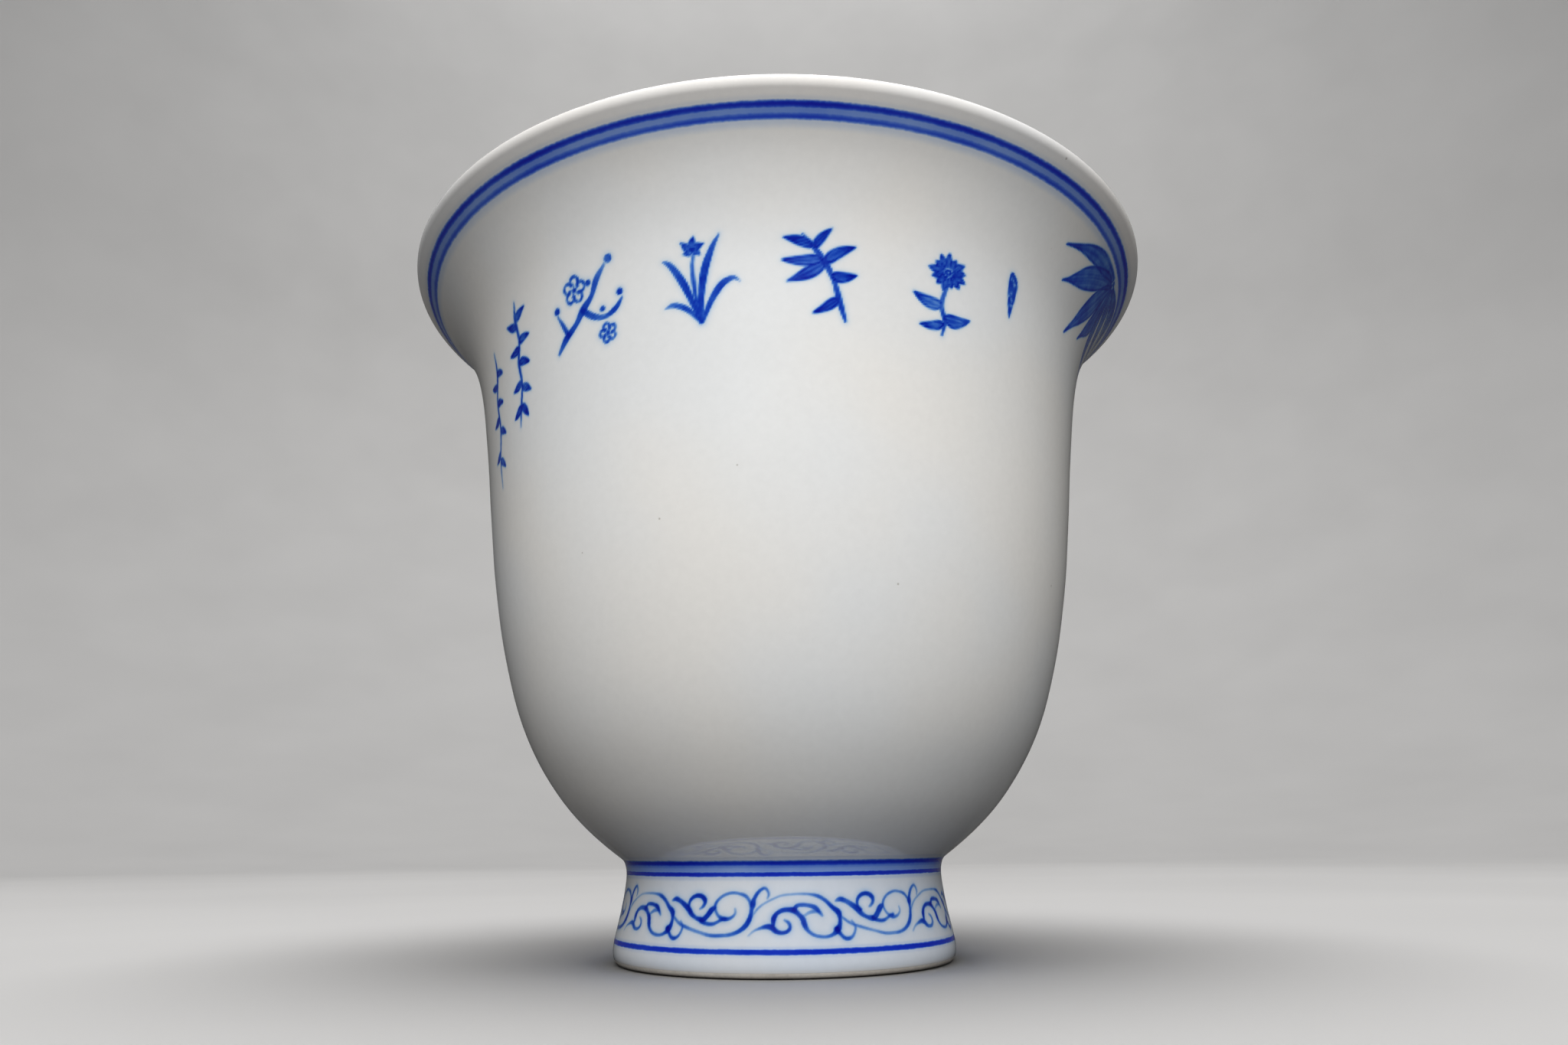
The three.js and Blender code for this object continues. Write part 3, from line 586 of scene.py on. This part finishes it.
    # the fill of these leaves is inked darker than the default: partly their cobalt, partly painted shade on this
    # darker side of the cup
    blades((
        [(68.5, 65.8, .6), (64.0, 65.5, 1.4), (60.0, 65.35, 1.65), (56.4, 65.02, 1.3), (53.4, 64.62, .62), (51.4, 64.3, .3), (49.5, 63.97, .1)],
        [(69.6, 65.4, .6), (66.6, 65.1, 1.7), (62.8, 64.3, 2.4), (59.2, 63.4, 2.2), (56.2, 62.56, 1.15), (54.2, 62.02, .42), (52.4, 61.56, .1)],
        [(69.8, 65.4, .8), (68.6, 64.4, 2.0), (66.9, 62.9, 2.5), (64.3, 61.2, 1.75), (61.7, 59.75, .8), (59.8, 58.8, .38), (58.0, 57.9, .1)],
        [(70.9, 65.3, .8), (71.9, 63.9, 2.0), (71.6, 62.4, 2.3), (70.0, 61.25, 1.5), (68.4, 60.4, .7), (67.2, 59.8, .32), (66.0, 59.2, .08)],
        [(70.8, 65.4, .4), (74.0, 63.6, 1.5), (76.2, 61.2, 2.0), (77.0, 58.8, 1.4), (76.4, 56.4, .12)],
        [(71.2, 65.5, .4), (76.5, 64.6, 1.4), (82.2, 62.8, 1.9), (87.0, 60.4, 1.3), (90.5, 57.9, .12)],
        [(71.4, 65.7, .4), (78.0, 65.8, 1.0), (85.0, 65.5, 1.3), (92.0, 64.4, .12)]), outline=.62, fill=.66)
    cluster(92, 49.2, [(74, 48.6, 1.0), (79, 45.0, 1.05), (88, 42.2, 1.0), (99, 43.6, .95), (80.5, 52.6, .8)], 2.0)
    cluster(146, 59.0, [(131, 62.5, .9), (134, 56.8, .95), (143, 52.8, 1.0), (155, 53.2, .95), (161, 58.6, .95), (152, 64.2, .8)], 2.0)
    cluster(124, 63.8, [(136, 65.3, .7), (137, 61.0, .8), (128, 58.2, .8)], 1.8)
    cluster(154, 56.0, [(143, 49.6, .9), (150, 46.6, .95), (160, 47.0, .8)], 1.9, .8, .42)
    cluster(199, 56.0, [(212, 59.6, .95), (214, 54.6, 1.0), (208, 49.6, 1.0), (198, 48.2, .9), (193, 62.2, .75)], 2.0)
    cluster(190, 45.0, [(203, 45.4, .9), (200, 41.2, .9), (189, 39.9, .8)], 1.8)
    cluster(187, 63.6, [(198, 65.5, .6), (203, 62.6, .7), (176, 65.4, .6)], 1.7)
    for q in ((-2.3, .5), (3.1, -.3)):
        x, y = pos(150 + q[0], 42.5 + q[1])
        cv.brush([(x - 1.4, y - .2, .2, .5), (x, y, .5, .6), (x + 1.6, y + .1, .2, .4)])


# ------------------------------------------------------------------ materials
class Tree:
    def __init__(self, name):
        self.mat = bpy.data.materials.new(name)
        self.mat.use_nodes = True
        self.t = self.mat.node_tree
        self.t.nodes.clear()
        self.out = self.t.nodes.new("ShaderNodeOutputMaterial")
        self.bsdf = self.t.nodes.new("ShaderNodeBsdfPrincipled")
        self.t.links.new(self.bsdf.outputs[0], self.out.inputs[0])
        co = self.t.nodes.new("ShaderNodeTexCoord")
        self.co = co.outputs["Object"]

    def put(self, socket, value):
        if hasattr(value, "is_output"):
            self.t.links.new(value, socket)
        else:
            socket.default_value = value

    def math(self, op, a, b=None, c=None, clamp=False):
        n = self.t.nodes.new("ShaderNodeMath")
        n.operation, n.use_clamp = op, clamp
        for i, v in enumerate((a, b, c)):
            if v is not None:
                self.put(n.inputs[i], v)
        return n.outputs[0]

    def noise(self, scale, detail=2.0, rough=0.5, at_=None, distortion=0.0):
        n = self.t.nodes.new("ShaderNodeTexNoise")
        self.put(n.inputs["Vector"], self.co if at_ is None else at_)
        n.inputs["Scale"].default_value = scale
        n.inputs["Detail"].default_value = detail
        n.inputs["Roughness"].default_value = rough
        n.inputs["Distortion"].default_value = distortion
        return n.outputs["Fac"]

    def scaled(self, x, y, z):
        n = self.t.nodes.new("ShaderNodeMapping")
        n.inputs["Scale"].default_value = (x, y, z)
        self.put(n.inputs["Vector"], self.co)
        return n.outputs[0]

    def split(self):
        n = self.t.nodes.new("ShaderNodeSeparateXYZ")
        self.put(n.inputs[0], self.co)
        return n.outputs

    def remap(self, v, a, b, c=0.0, d=1.0, smooth=True):
        n = self.t.nodes.new("ShaderNodeMapRange")
        n.interpolation_type = "SMOOTHSTEP" if smooth else "LINEAR"
        for s, x in zip(n.inputs, (v, a, b, c, d)):
            self.put(s, x)
        return n.outputs[0]

    def band(self, z, mid, half, soft, strength):
        """strength where z is within half of mid, with soft edges; mm."""
        up = self.remap(z, mid - half - soft, mid - half + soft)
        down = self.remap(z, mid + half - soft, mid + half + soft, 1.0, 0.0)
        return self.math("MULTIPLY", self.math("MULTIPLY", up, down), strength)

    def rgb(self, r, g_, b):
        n = self.t.nodes.new("ShaderNodeCombineColor")
        for s, v in zip(n.inputs, (r, g_, b)):
            self.put(s, v)
        return n.outputs[0]

    def mix(self, fac, a, b, mode="MIX"):
        n = self.t.nodes.new("ShaderNodeMix")
        n.data_type, n.blend_type = "RGBA", mode
        self.put(n.inputs[0], fac)
        self.put(n.inputs[6], a)
        self.put(n.inputs[7], b)
        return n.outputs[2]

    def bump(self, height, distance, strength=1.0, normal=None):
        n = self.t.nodes.new("ShaderNodeBump")
        n.inputs["Strength"].default_value = strength
        n.inputs["Distance"].default_value = distance
        self.put(n.inputs["Height"], height)
        if normal is not None:
            self.put(n.inputs["Normal"], normal)
        return n.outputs[0]

    def voronoi(self, scale):
        n = self.t.nodes.new("ShaderNodeTexVoronoi")
        self.put(n.inputs["Vector"], self.co)
        n.inputs["Scale"].default_value = scale
        return n.outputs["Distance"], n.outputs["Color"]


# how strongly full-strength cobalt takes out red, green and blue: banded on the wheel, and brushed
BANDED = (5.0, 3.25, 0.42)
BRUSHED = (4.8, 2.75, 0.56)


def glaze_material(name, lines=(), painted=False, tint=0.0, white=(0.80, 0.795, 0.78), pool=None, edge_tan=False, wobble=0.05, glassy=None, lip=False):
    m = Tree(name)
    x, y, z = m.split()
    zmm = m.math("MULTIPLY", z, 1000.0)
    # white body seen through the glaze: slow warm and cool drift, a faint mottle
    slow = m.noise(38, 2.0, 0.5)
    fine_n = m.noise(1400, 3.0, 0.6)
    warm = m.rgb(white[0] * 1.012, white[1] * 0.998, white[2] * 0.975)
    cool = m.rgb(white[0] * 0.978, white[1] * 0.995, white[2] * 1.012)
    base = m.mix(m.remap(slow, 0.35, 0.65), warm, cool)
    mottle = m.remap(fine_n, 0.3, 0.7, 0.982, 1.012, False)
    base = m.mix(1.0, base, m.rgb(mottle, mottle, mottle), "MULTIPLY")
    # cobalt
    ink = brushed = None
    if lines:
        turn = m.noise(55, 2.0, 0.5)
        quick_n = m.noise(420, 2.0, 0.5)
        zz = m.math("ADD", zmm, m.math("MULTIPLY_ADD", turn, 2 * wobble, -wobble))
        zz = m.math("ADD", zz, m.math("MULTIPLY_ADD", quick_n, 0.7 * wobble, -0.35 * wobble))
        zz = m.math("ADD", zz, m.math("MULTIPLY_ADD", m.noise(1900, 2.0, 0.6), 0.10, -0.05))
        load = m.remap(m.noise(130, 3.0, 0.6), 0.3, 0.7, 0.80, 1.16, False)
        for mid, half, soft, strength in lines:
            b = m.math("MULTIPLY", m.band(zz, mid, half, soft, strength), load)
            ink = b if ink is None else m.math("ADD", ink, b)
    if painted:
        a = m.t.nodes.new("ShaderNodeAttribute")
        a.attribute_name = "cobalt"
        granule = m.remap(m.noise(1500, 3.0, 0.65), 0.25, 0.75, 0.84, 1.14, False)
        wet = m.remap(m.noise(400, 2.0, 0.5), 0.3, 0.7, 0.72, 1.26, False)
        brushed = m.math("MULTIPLY", m.math("MULTIPLY", a.outputs["Fac"], granule), wet)
    if tint:
        t_ = m.math("MULTIPLY", m.remap(m.noise(60, 2.0), 0.3, 0.7, 0.8, 1.2, False), tint)
        ink = t_ if ink is None else m.math("ADD", ink, t_)
    for load_, pigment in ((ink, BANDED), (brushed, BRUSHED)):
        if load_ is not None:
            keep = [m.math("POWER", math.exp(-k), load_) for k in pigment]
            base = m.mix(1.0, base, m.rgb(*keep), "MULTIPLY")
    if lip:  # painted highlight: the roll of the lip is whitened for the light it catches from above, over a slightly thinner, whiter glaze there
        f = m.math("MULTIPLY", m.remap(zmm, 67.3, 67.9), m.remap(zmm, 68.55, 69.0, 1.0, 0.0))
        base = m.mix(f, base, m.mix(1.0, base, m.rgb(1.12, 1.115, 1.115), "MULTIPLY"))
    if pool:  # glaze lies thicker and a little greener in the well
        f = m.remap(zmm, pool[0], pool[1], 1.0, 0.0)
        base = m.mix(m.math("MULTIPLY", f, 0.75), base, m.rgb(0.69, 0.725, 0.70), "MIX")
    if edge_tan:  # thin, iron-stained glaze at its lower edge
        e = m.math("ADD", zmm, m.math("MULTIPLY_ADD", m.noise(300, 3.0), 0.3, -0.15))
        f = m.remap(e, 0.45, 0.85, 1.0, 0.0)
        base = m.mix(m.math("MULTIPLY", f, 0.3), base, m.rgb(0.66, 0.59, 0.49), "MIX")
    # a few pinholes and iron specks
    d, c = m.voronoi(310)
    sep = m.t.nodes.new("ShaderNodeSeparateColor")
    m.put(sep.inputs[0], c)
    some = m.math("GREATER_THAN", sep.outputs[0], 0.74)
    speck = m.math("MULTIPLY", m.remap(d, 0.018, 0.045, 1.0, 0.0), some)
    base = m.mix(m.math("MULTIPLY", speck, 0.5), base, m.rgb(0.20, 0.16, 0.12), "MIX")
    m.put(m.bsdf.inputs["Base Color"], base)
    # glaze surface
    smear = m.remap(m.noise(75, 3.0, 0.6, distortion=0.6), 0.52, 0.72, 0.0, 0.06)
    rough = m.math("ADD", m.remap(m.noise(210, 2.0), 0.3, 0.7, 0.06, 0.10, False), smear)
    if glassy:  # thicker, glassier where it ran down
        rough = m.math("MULTIPLY", rough, m.remap(zmm, glassy[0], glassy[1], 0.35, 1.0))
    m.put(m.bsdf.inputs["Roughness"], rough)
    m.bsdf.inputs["IOR"].default_value = 1.58
    m.put(m.bsdf.inputs["Specular IOR Level"], m.remap(zmm, glassy[0], glassy[1], 0.9, 0.5) if glassy else 0.5)
    rings = m.noise(1.0, 1.0, 0.5, m.scaled(8, 8, 260))
    h = m.math("ADD", m.math("MULTIPLY", m.noise(115, 2.0, 0.45), 1.0), m.math("MULTIPLY", rings, 0.45))
    n1 = m.bump(h, 0.000016, 1.0)
    pits = m.math("SUBTRACT", m.math("MULTIPLY", m.noise(1150, 2.0, 0.5), 0.35), m.math("MULTIPLY", speck, 2.5))
    n2 = m.bump(pits, 0.0000045, 1.0, n1)
    m.put(m.bsdf.inputs["Normal"], n2)
    return m.mat


def clay_material(name, tone, stain):
    m = Tree(name)
    x, y, z = m.split()
    n = m.noise(420, 5.0, 0.65)
    base = m.mix(m.remap(n, 0.3, 0.7), m.rgb(*tone), m.rgb(*[t * 0.86 for t in tone]))
    base = m.mix(m.math("MULTIPLY", m.remap(m.noise(70, 3.0, 0.6, distortion=0.5), 0.42, 0.7), stain), base, m.rgb(0.42, 0.30, 0.20))
    grit = m.remap(m.noise(2600, 4.0, 0.7), 0.3, 0.7, 0.88, 1.06, False)
    base = m.mix(1.0, base, m.rgb(grit, grit, grit), "MULTIPLY")
    m.put(m.bsdf.inputs["Base Color"], base)
    m.put(m.bsdf.inputs["Roughness"], m.remap(n, 0.2, 0.8, 0.62, 0.85, False))
    m.bsdf.inputs["Specular IOR Level"].default_value = 0.35
    turning = m.noise(1.0, 2.0, 0.5, m.scaled(40, 40, 900))
    m.put(m.bsdf.inputs["Normal"], m.bump(m.math("ADD", m.noise(2200, 4.0, 0.7), m.math("MULTIPLY", turning, 0.6)), 0.00003, 0.8))
    return m.mat


# strokes laid on the wheel: (height, half height, softness, strength)
RIM_LINES = [(67.16, 0.115, 0.13, 1.20), (66.50, 0.11, 0.13, 0.76), (66.84, 0.24, 0.10, 0.31),
             (66.22, 0.22, 0.30, 0.065), (67.44, 0.10, 0.14, 0.03)]
# in FOOT_LINES the band at 8.80, darkening the wash just under the upper line, is partly wash and partly painted shade
# under the bowl's overhang
FOOT_LINES = [(9.03, 0.15, 0.13, 1.12), (8.12, 0.15, 0.08, 1.05), (8.54, 0.26, 0.14, 0.26), (8.80, 0.10, 0.14, 0.22),
              (2.11, 0.18, 0.09, 1.0), (7.80, 0.12, 0.16, 0.06), (2.42, 0.08, 0.16, 0.07), (1.80, 0.08, 0.16, 0.05)]


# ------------------------------------------------------------------ the cup's pieces
PIECES = []


def give(ob, mat, slot, *nodes):
    PIECES.append(ob)
    ob.data.materials.clear()
    ob.data.materials.append(mat)
    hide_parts(*nodes)
    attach(ob, "root")
    return ob


def put_cobalt(ob, start, canvas, columns):
    values = np.zeros(len(ob.data.vertices), np.float32)
    for k in range(canvas.ink.shape[0]):
        values[start[k]:start[k] + columns] = canvas.ink[k]
    at_ = ob.data.attributes.new("cobalt", "FLOAT", "POINT")
    at_.data.foreach_set("value", values)


# hidden clay and slip
rows_out = np.arange(S_NECK + 0.1, S_CROWN, 0.7)
rows_in = np.append(np.arange(S_CROWN, S_END - 0.4, 0.9), S_END)
p1, n1 = under_path(rows_out, 0.3)
p2, n2 = under_path(rows_in, 0.22)
p2[-1, 0] = 0
under = np.array([[0, under_z], [8, under_z], [15.1, under_z], p1[0]])
bowl_run = (np.vstack([p1, p2]), np.vstack([n1, n2]))
bowl, _ = turned("bowl_clay", [run_of(under), bowl_run], ring_columns(192))
give(bowl, clay_material("bisque_clay", (0.80, 0.77, 0.72), 0.15), "clay_body", "bowl_body")

sr = np.arange(station(clay_top - 0.1, "recess"), S_REC - 0.12, 0.5)
sf = np.arange(S_FOOT + 0.12, station(clay_top - 0.1, "foot"), 0.5)
pr, nr_ = under_path(sr, 0.22)
pf, nf = under_path(sf, 0.3)
sb = np.linspace(S_REC - 0.0, S_FOOT + 0.0, 44)
pb, nb_ = under_path(sb, 0.015)
top_in, top_out = np.array([pr[0, 0], clay_top]), np.array([pf[-1, 0], clay_top])
foot_clay, _ = turned("foot_clay", [
    (np.vstack([top_in, pr]), np.vstack([nr_[0], nr_])), run_of([pr[-1], pb[0]]), (pb, nb_), run_of([pb[-1], pf[0]]),
    (np.vstack([pf, top_out]), np.vstack([nf, nf[-1]])), run_of([top_out, top_in])], ring_columns(384))
# the bare rim's clay is a little lighter than the bowl's: partly its own tone, partly painted light offsetting the
# contact shadow from the floor
give(foot_clay, clay_material("bare_foot_clay", (0.83, 0.79, 0.73), 0.22), "clay_foot", "foot_ring_body")

slip_in, slip_out = (pr[0, 0] + 0.1), pf[-1, 0]
corner = [[slip_in, seam_lo], [slip_out, seam_lo], [slip_out, seam_hi], [slip_in, seam_hi]]
slip, _ = turned("slip_ring", [run_of([corner[i], corner[(i + 1) % 4]]) for i in range(4)], ring_columns(192))
give(slip, clay_material("fired_slip", (0.78, 0.75, 0.69), 0.2), "slip", "slip_seam")

# glaze inside the foot
piece, _, _ = shell("recess_glaze_coat", 0, S_REC, 0.3, ring_columns(256))
give(piece, glaze_material("glaze_recess", tint=0.02, white=(0.76, 0.765, 0.755)), "glaze_inside", "recess_glaze")

# glaze on the foot, with its brushed scroll
cols = ring_columns(960)
piece, start, so = shell("foot_glaze_painted", S_FOOT, S_NECK, 0.09, cols)
cv = Canvas(15.75 * cols, at(so)[1], 15.75 * 2 * math.pi, 11)
paint_foot(cv)
put_cobalt(piece, start, cv, len(cols))
give(piece, glaze_material("glaze_foot_painted", FOOT_LINES, True, tint=0.038, edge_tan=True, wobble=0.035), "glaze",
     "foot_glaze", "foot_line_upper", "foot_wash_band", "foot_line_lower", "foot_scroll_vine", "base_line")

# glaze on the lower bowl
piece, _, _ = shell("bowl_glaze_lower", S_NECK, S_BELT, 0.45, ring_columns(384))
give(piece, glaze_material("glaze_bowl", FOOT_LINES[:1], tint=0.004, glassy=(13.0, 21.0)), "glaze", "exterior_glaze")

# painted belt: close columns where the brush went, wide ones elsewhere
dense = np.arange(-68, 220, 0.27)
wide = np.linspace(dense[-1], 360 - 68, int((360 - 68 - dense[-1]) / 1.1) + 2)[1:-1]
cols = np.concatenate([dense, wide]) * DEG
piece, start, so = shell("belt_glaze_painted", S_BELT, S_RIM, 0.15, cols)
cv = Canvas(32.4 * cols, so, 32.4 * 2 * math.pi, 12)
paint_belt(cv)
put_cobalt(piece, start, cv, len(cols))
give(piece, glaze_material("glaze_belt_painted", RIM_LINES, True, tint=0.004), "glaze", "exterior_glaze")

# rim with its two lines and wash, over the lip
piece, _, _ = shell("rim_glaze_lined", S_RIM, S_CROWN, 0.12, ring_columns(512))
give(piece, glaze_material("glaze_rim", RIM_LINES, tint=0.004, white=(0.81, 0.80, 0.785), lip=True), "glaze", "exterior_glaze", "rim_line_upper", "rim_wash_band", "rim_line_lower")

# inside
piece, _, _ = shell("interior_glaze_coat", S_CROWN, S_END, 0.45, ring_columns(384))
give(piece, glaze_material("glaze_interior", tint=0.003, pool=(11.0, 22.0)), "glaze_inside", "interior_glaze")

# ------------------------------------------------------------------ stage
FLOOR_SEEN, FLOOR_BOUNCE = 0.90, 0.245  # pale paper; a grey card under the cup would throw back this little


def sweep_floor():
    prof = [(0.0, 0.0), (0.20, 0.0), (0.60, 0.0)]
    prof += [(0.60 + 0.80 * math.sin(a), 0.80 - 0.80 * math.cos(a)) for a in np.linspace(0.04, math.pi / 2, 40)]
    prof += [(1.40, 1.3), (1.40, 1.9)]
    n = 128
    verts, faces = [(0, 0, -0.00001)], []
    for r, z in prof[1:]:
        verts += [(r * math.sin(2 * math.pi * k / n), -r * math.cos(2 * math.pi * k / n), z - 0.00001) for k in range(n)]
    for k in range(n):
        faces.append((0, 1 + k, 1 + (k + 1) % n))
    for i in range(len(prof) - 2):
        for k in range(n):
            a, b = 1 + i * n + k, 1 + i * n + (k + 1) % n
            faces.append((a, a + n, b + n, b))
    me = bpy.data.meshes.new("studio_sweep")
    me.from_pydata(verts, [], faces)
    me.polygons.foreach_set("use_smooth", np.ones(len(faces), bool))
    ob = bpy.data.objects.new("studio_sweep", me)
    bpy.context.scene.collection.objects.link(ob)
    m = Tree("studio_paper")
    tone = m.remap(m.noise(9, 2.0), 0.3, 0.7, 0.97, 1.02, False)
    lp = m.t.nodes.new("ShaderNodeLightPath").outputs
    tone = m.math("MULTIPLY", tone, m.math("MULTIPLY_ADD", lp["Is Camera Ray"], FLOOR_SEEN - FLOOR_BOUNCE, FLOOR_BOUNCE))
    tone = m.math("MULTIPLY", tone, m.math("MULTIPLY_ADD", lp["Is Glossy Ray"], -0.5, 1.0))
    m.put(m.bsdf.inputs["Base Color"], m.rgb(tone, m.math("MULTIPLY", tone, 0.993), m.math("MULTIPLY", tone, 0.985)))
    m.bsdf.inputs["Roughness"].default_value = 0.85
    m.bsdf.inputs["Specular IOR Level"].default_value = 0.15
    m.put(m.bsdf.inputs["Normal"], m.bump(m.noise(2500, 3.0, 0.6), 0.00004, 0.5))
    ob.data.materials.append(m.mat)
    return ob


paper = sweep_floor()


def area(name, loc, target, size, power, colour=(1, 1, 1), glossy=True, size_y=None):
    d = bpy.data.lights.new(name, "AREA")
    d.energy, d.size, d.color = power, size, colour
    if size_y:
        d.shape, d.size_y = "RECTANGLE", size_y
    ob = bpy.data.objects.new(name, d)
    bpy.context.scene.collection.objects.link(ob)
    loc, target = np.array(loc, float), np.array(target, float)
    zax = (loc - target) / np.linalg.norm(loc - target)
    xax = np.cross((0, 0, 1), zax)
    xax = xax / np.linalg.norm(xax) if np.linalg.norm(xax) > 1e-6 else np.array((1.0, 0, 0))
    yax = np.cross(zax, xax)
    mtx = np.eye(4)
    mtx[:3, 0], mtx[:3, 1], mtx[:3, 2], mtx[:3, 3] = xax, yax, zax, loc
    ob.matrix_world = Matrix(mtx.tolist())
    ob.visible_camera = False
    ob.visible_glossy = glossy
    return ob


mid = (0, 0, 0.04)
area("overhead", (0.0, -0.16, 1.10), mid, 0.9, 8.8, (1.0, 0.99, 0.98))
# the others only touch the outside of the cup, so the paper stays even and the inside isn't washed out
cup_only = bpy.data.collections.new("cup_only")
for ob in PIECES:
    if ob.name != "interior_glaze_coat":
        cup_only.objects.link(ob)
for name, azimuth, distance, height, size, power, tone in (
        ("key_front", 0, 0.27, 0.17, 0.20, 0.90, (1.0, 0.992, 0.978)),
        ("back_left", 203, 0.66, 0.30, 0.30, 1.45, (0.98, 0.99, 1.0)), ("back_right", 157, 0.66, 0.30, 0.30, 1.45, (0.98, 0.99, 1.0)),
        ("side_left", 262, 0.46, 0.66, 0.30, 0.85, (1.0, 0.99, 0.975)), ("side_right", 98, 0.46, 0.66, 0.30, 0.85, (1.0, 0.99, 0.975))):
    ob = area(name, (distance * math.sin(azimuth * DEG), -distance * math.cos(azimuth * DEG), height), mid, size, power, tone, False)
    ob.light_linking.receiver_collection = cup_only
# the inside has three weak fills of its own
inside_only = bpy.data.collections.new("inside_only")
inside_only.objects.link(next(ob for ob in PIECES if ob.name == "interior_glaze_coat"))
for azimuth in (10, 130, 250):
    ob = area("inside_%d" % azimuth, (0.32 * math.sin(azimuth * DEG), -0.32 * math.cos(azimuth * DEG), 0.26), (0, 0, 0.055), 0.2, 0.5, (1.0, 0.995, 0.985), False)
    ob.light_linking.receiver_collection = inside_only
paper_only = bpy.data.collections.new("paper_only")
paper_only.objects.link(paper)
wash = bpy.data.lights.new("paper_wash", "SUN")
wash.energy, wash.angle, wash.color = 2.1, 60 * DEG, (1.0, 0.995, 0.985)
ob = bpy.data.objects.new("paper_wash", wash)
bpy.context.scene.collection.objects.link(ob)
ob.matrix_world = Matrix(((1, 0, 0, 0), (0, 0.447, -0.894, 0), (0, 0.894, 0.447, 1.0), (0, 0, 0, 1)))
ob.light_linking.receiver_collection = paper_only

world = bpy.data.worlds.new("studio_world")
world.use_nodes = True
bg = world.node_tree.nodes["Background"]
bg.inputs[0].default_value = (0.80, 0.81, 0.83, 1)
bg.inputs[1].default_value = 0.24
bpy.context.scene.world = world
bpy.context.scene.view_settings.view_transform = "Standard"

# ------------------------------------------------------------------ camera
RAD = lip_r * MM
D, H = 2.648246 * RAD / K, 0.256764 * RAD / K
pitch, yaw, roll = 0.3102912, 0.0037431, -0.0110438
cp, sp, cy, sy = math.cos(pitch), math.sin(pitch), math.cos(yaw), math.sin(yaw)
fwd = np.array([sy * cp, cy * cp, sp])
right = np.array([cy, -sy, 0.0])
up = np.cross(right, fwd)
right, up = math.cos(roll) * right + math.sin(roll) * up, -math.sin(roll) * right + math.cos(roll) * up
cam_data = bpy.data.cameras.new("view_camera")
cam_data.sensor_width, cam_data.sensor_fit = 36.0, "HORIZONTAL"
cam_data.lens = 36.0 * 1324.06 / 2048
cam_data.clip_start, cam_data.clip_end = 0.005, 20
cam = bpy.data.objects.new("view_camera", cam_data)
bpy.context.scene.collection.objects.link(cam)
mtx = np.eye(4)
mtx[:3, 0], mtx[:3, 1], mtx[:3, 2], mtx[:3, 3] = right, up, -fwd, (0, -D, H)
cam.matrix_world = Matrix(mtx.tolist())
bpy.context.scene.camera = cam
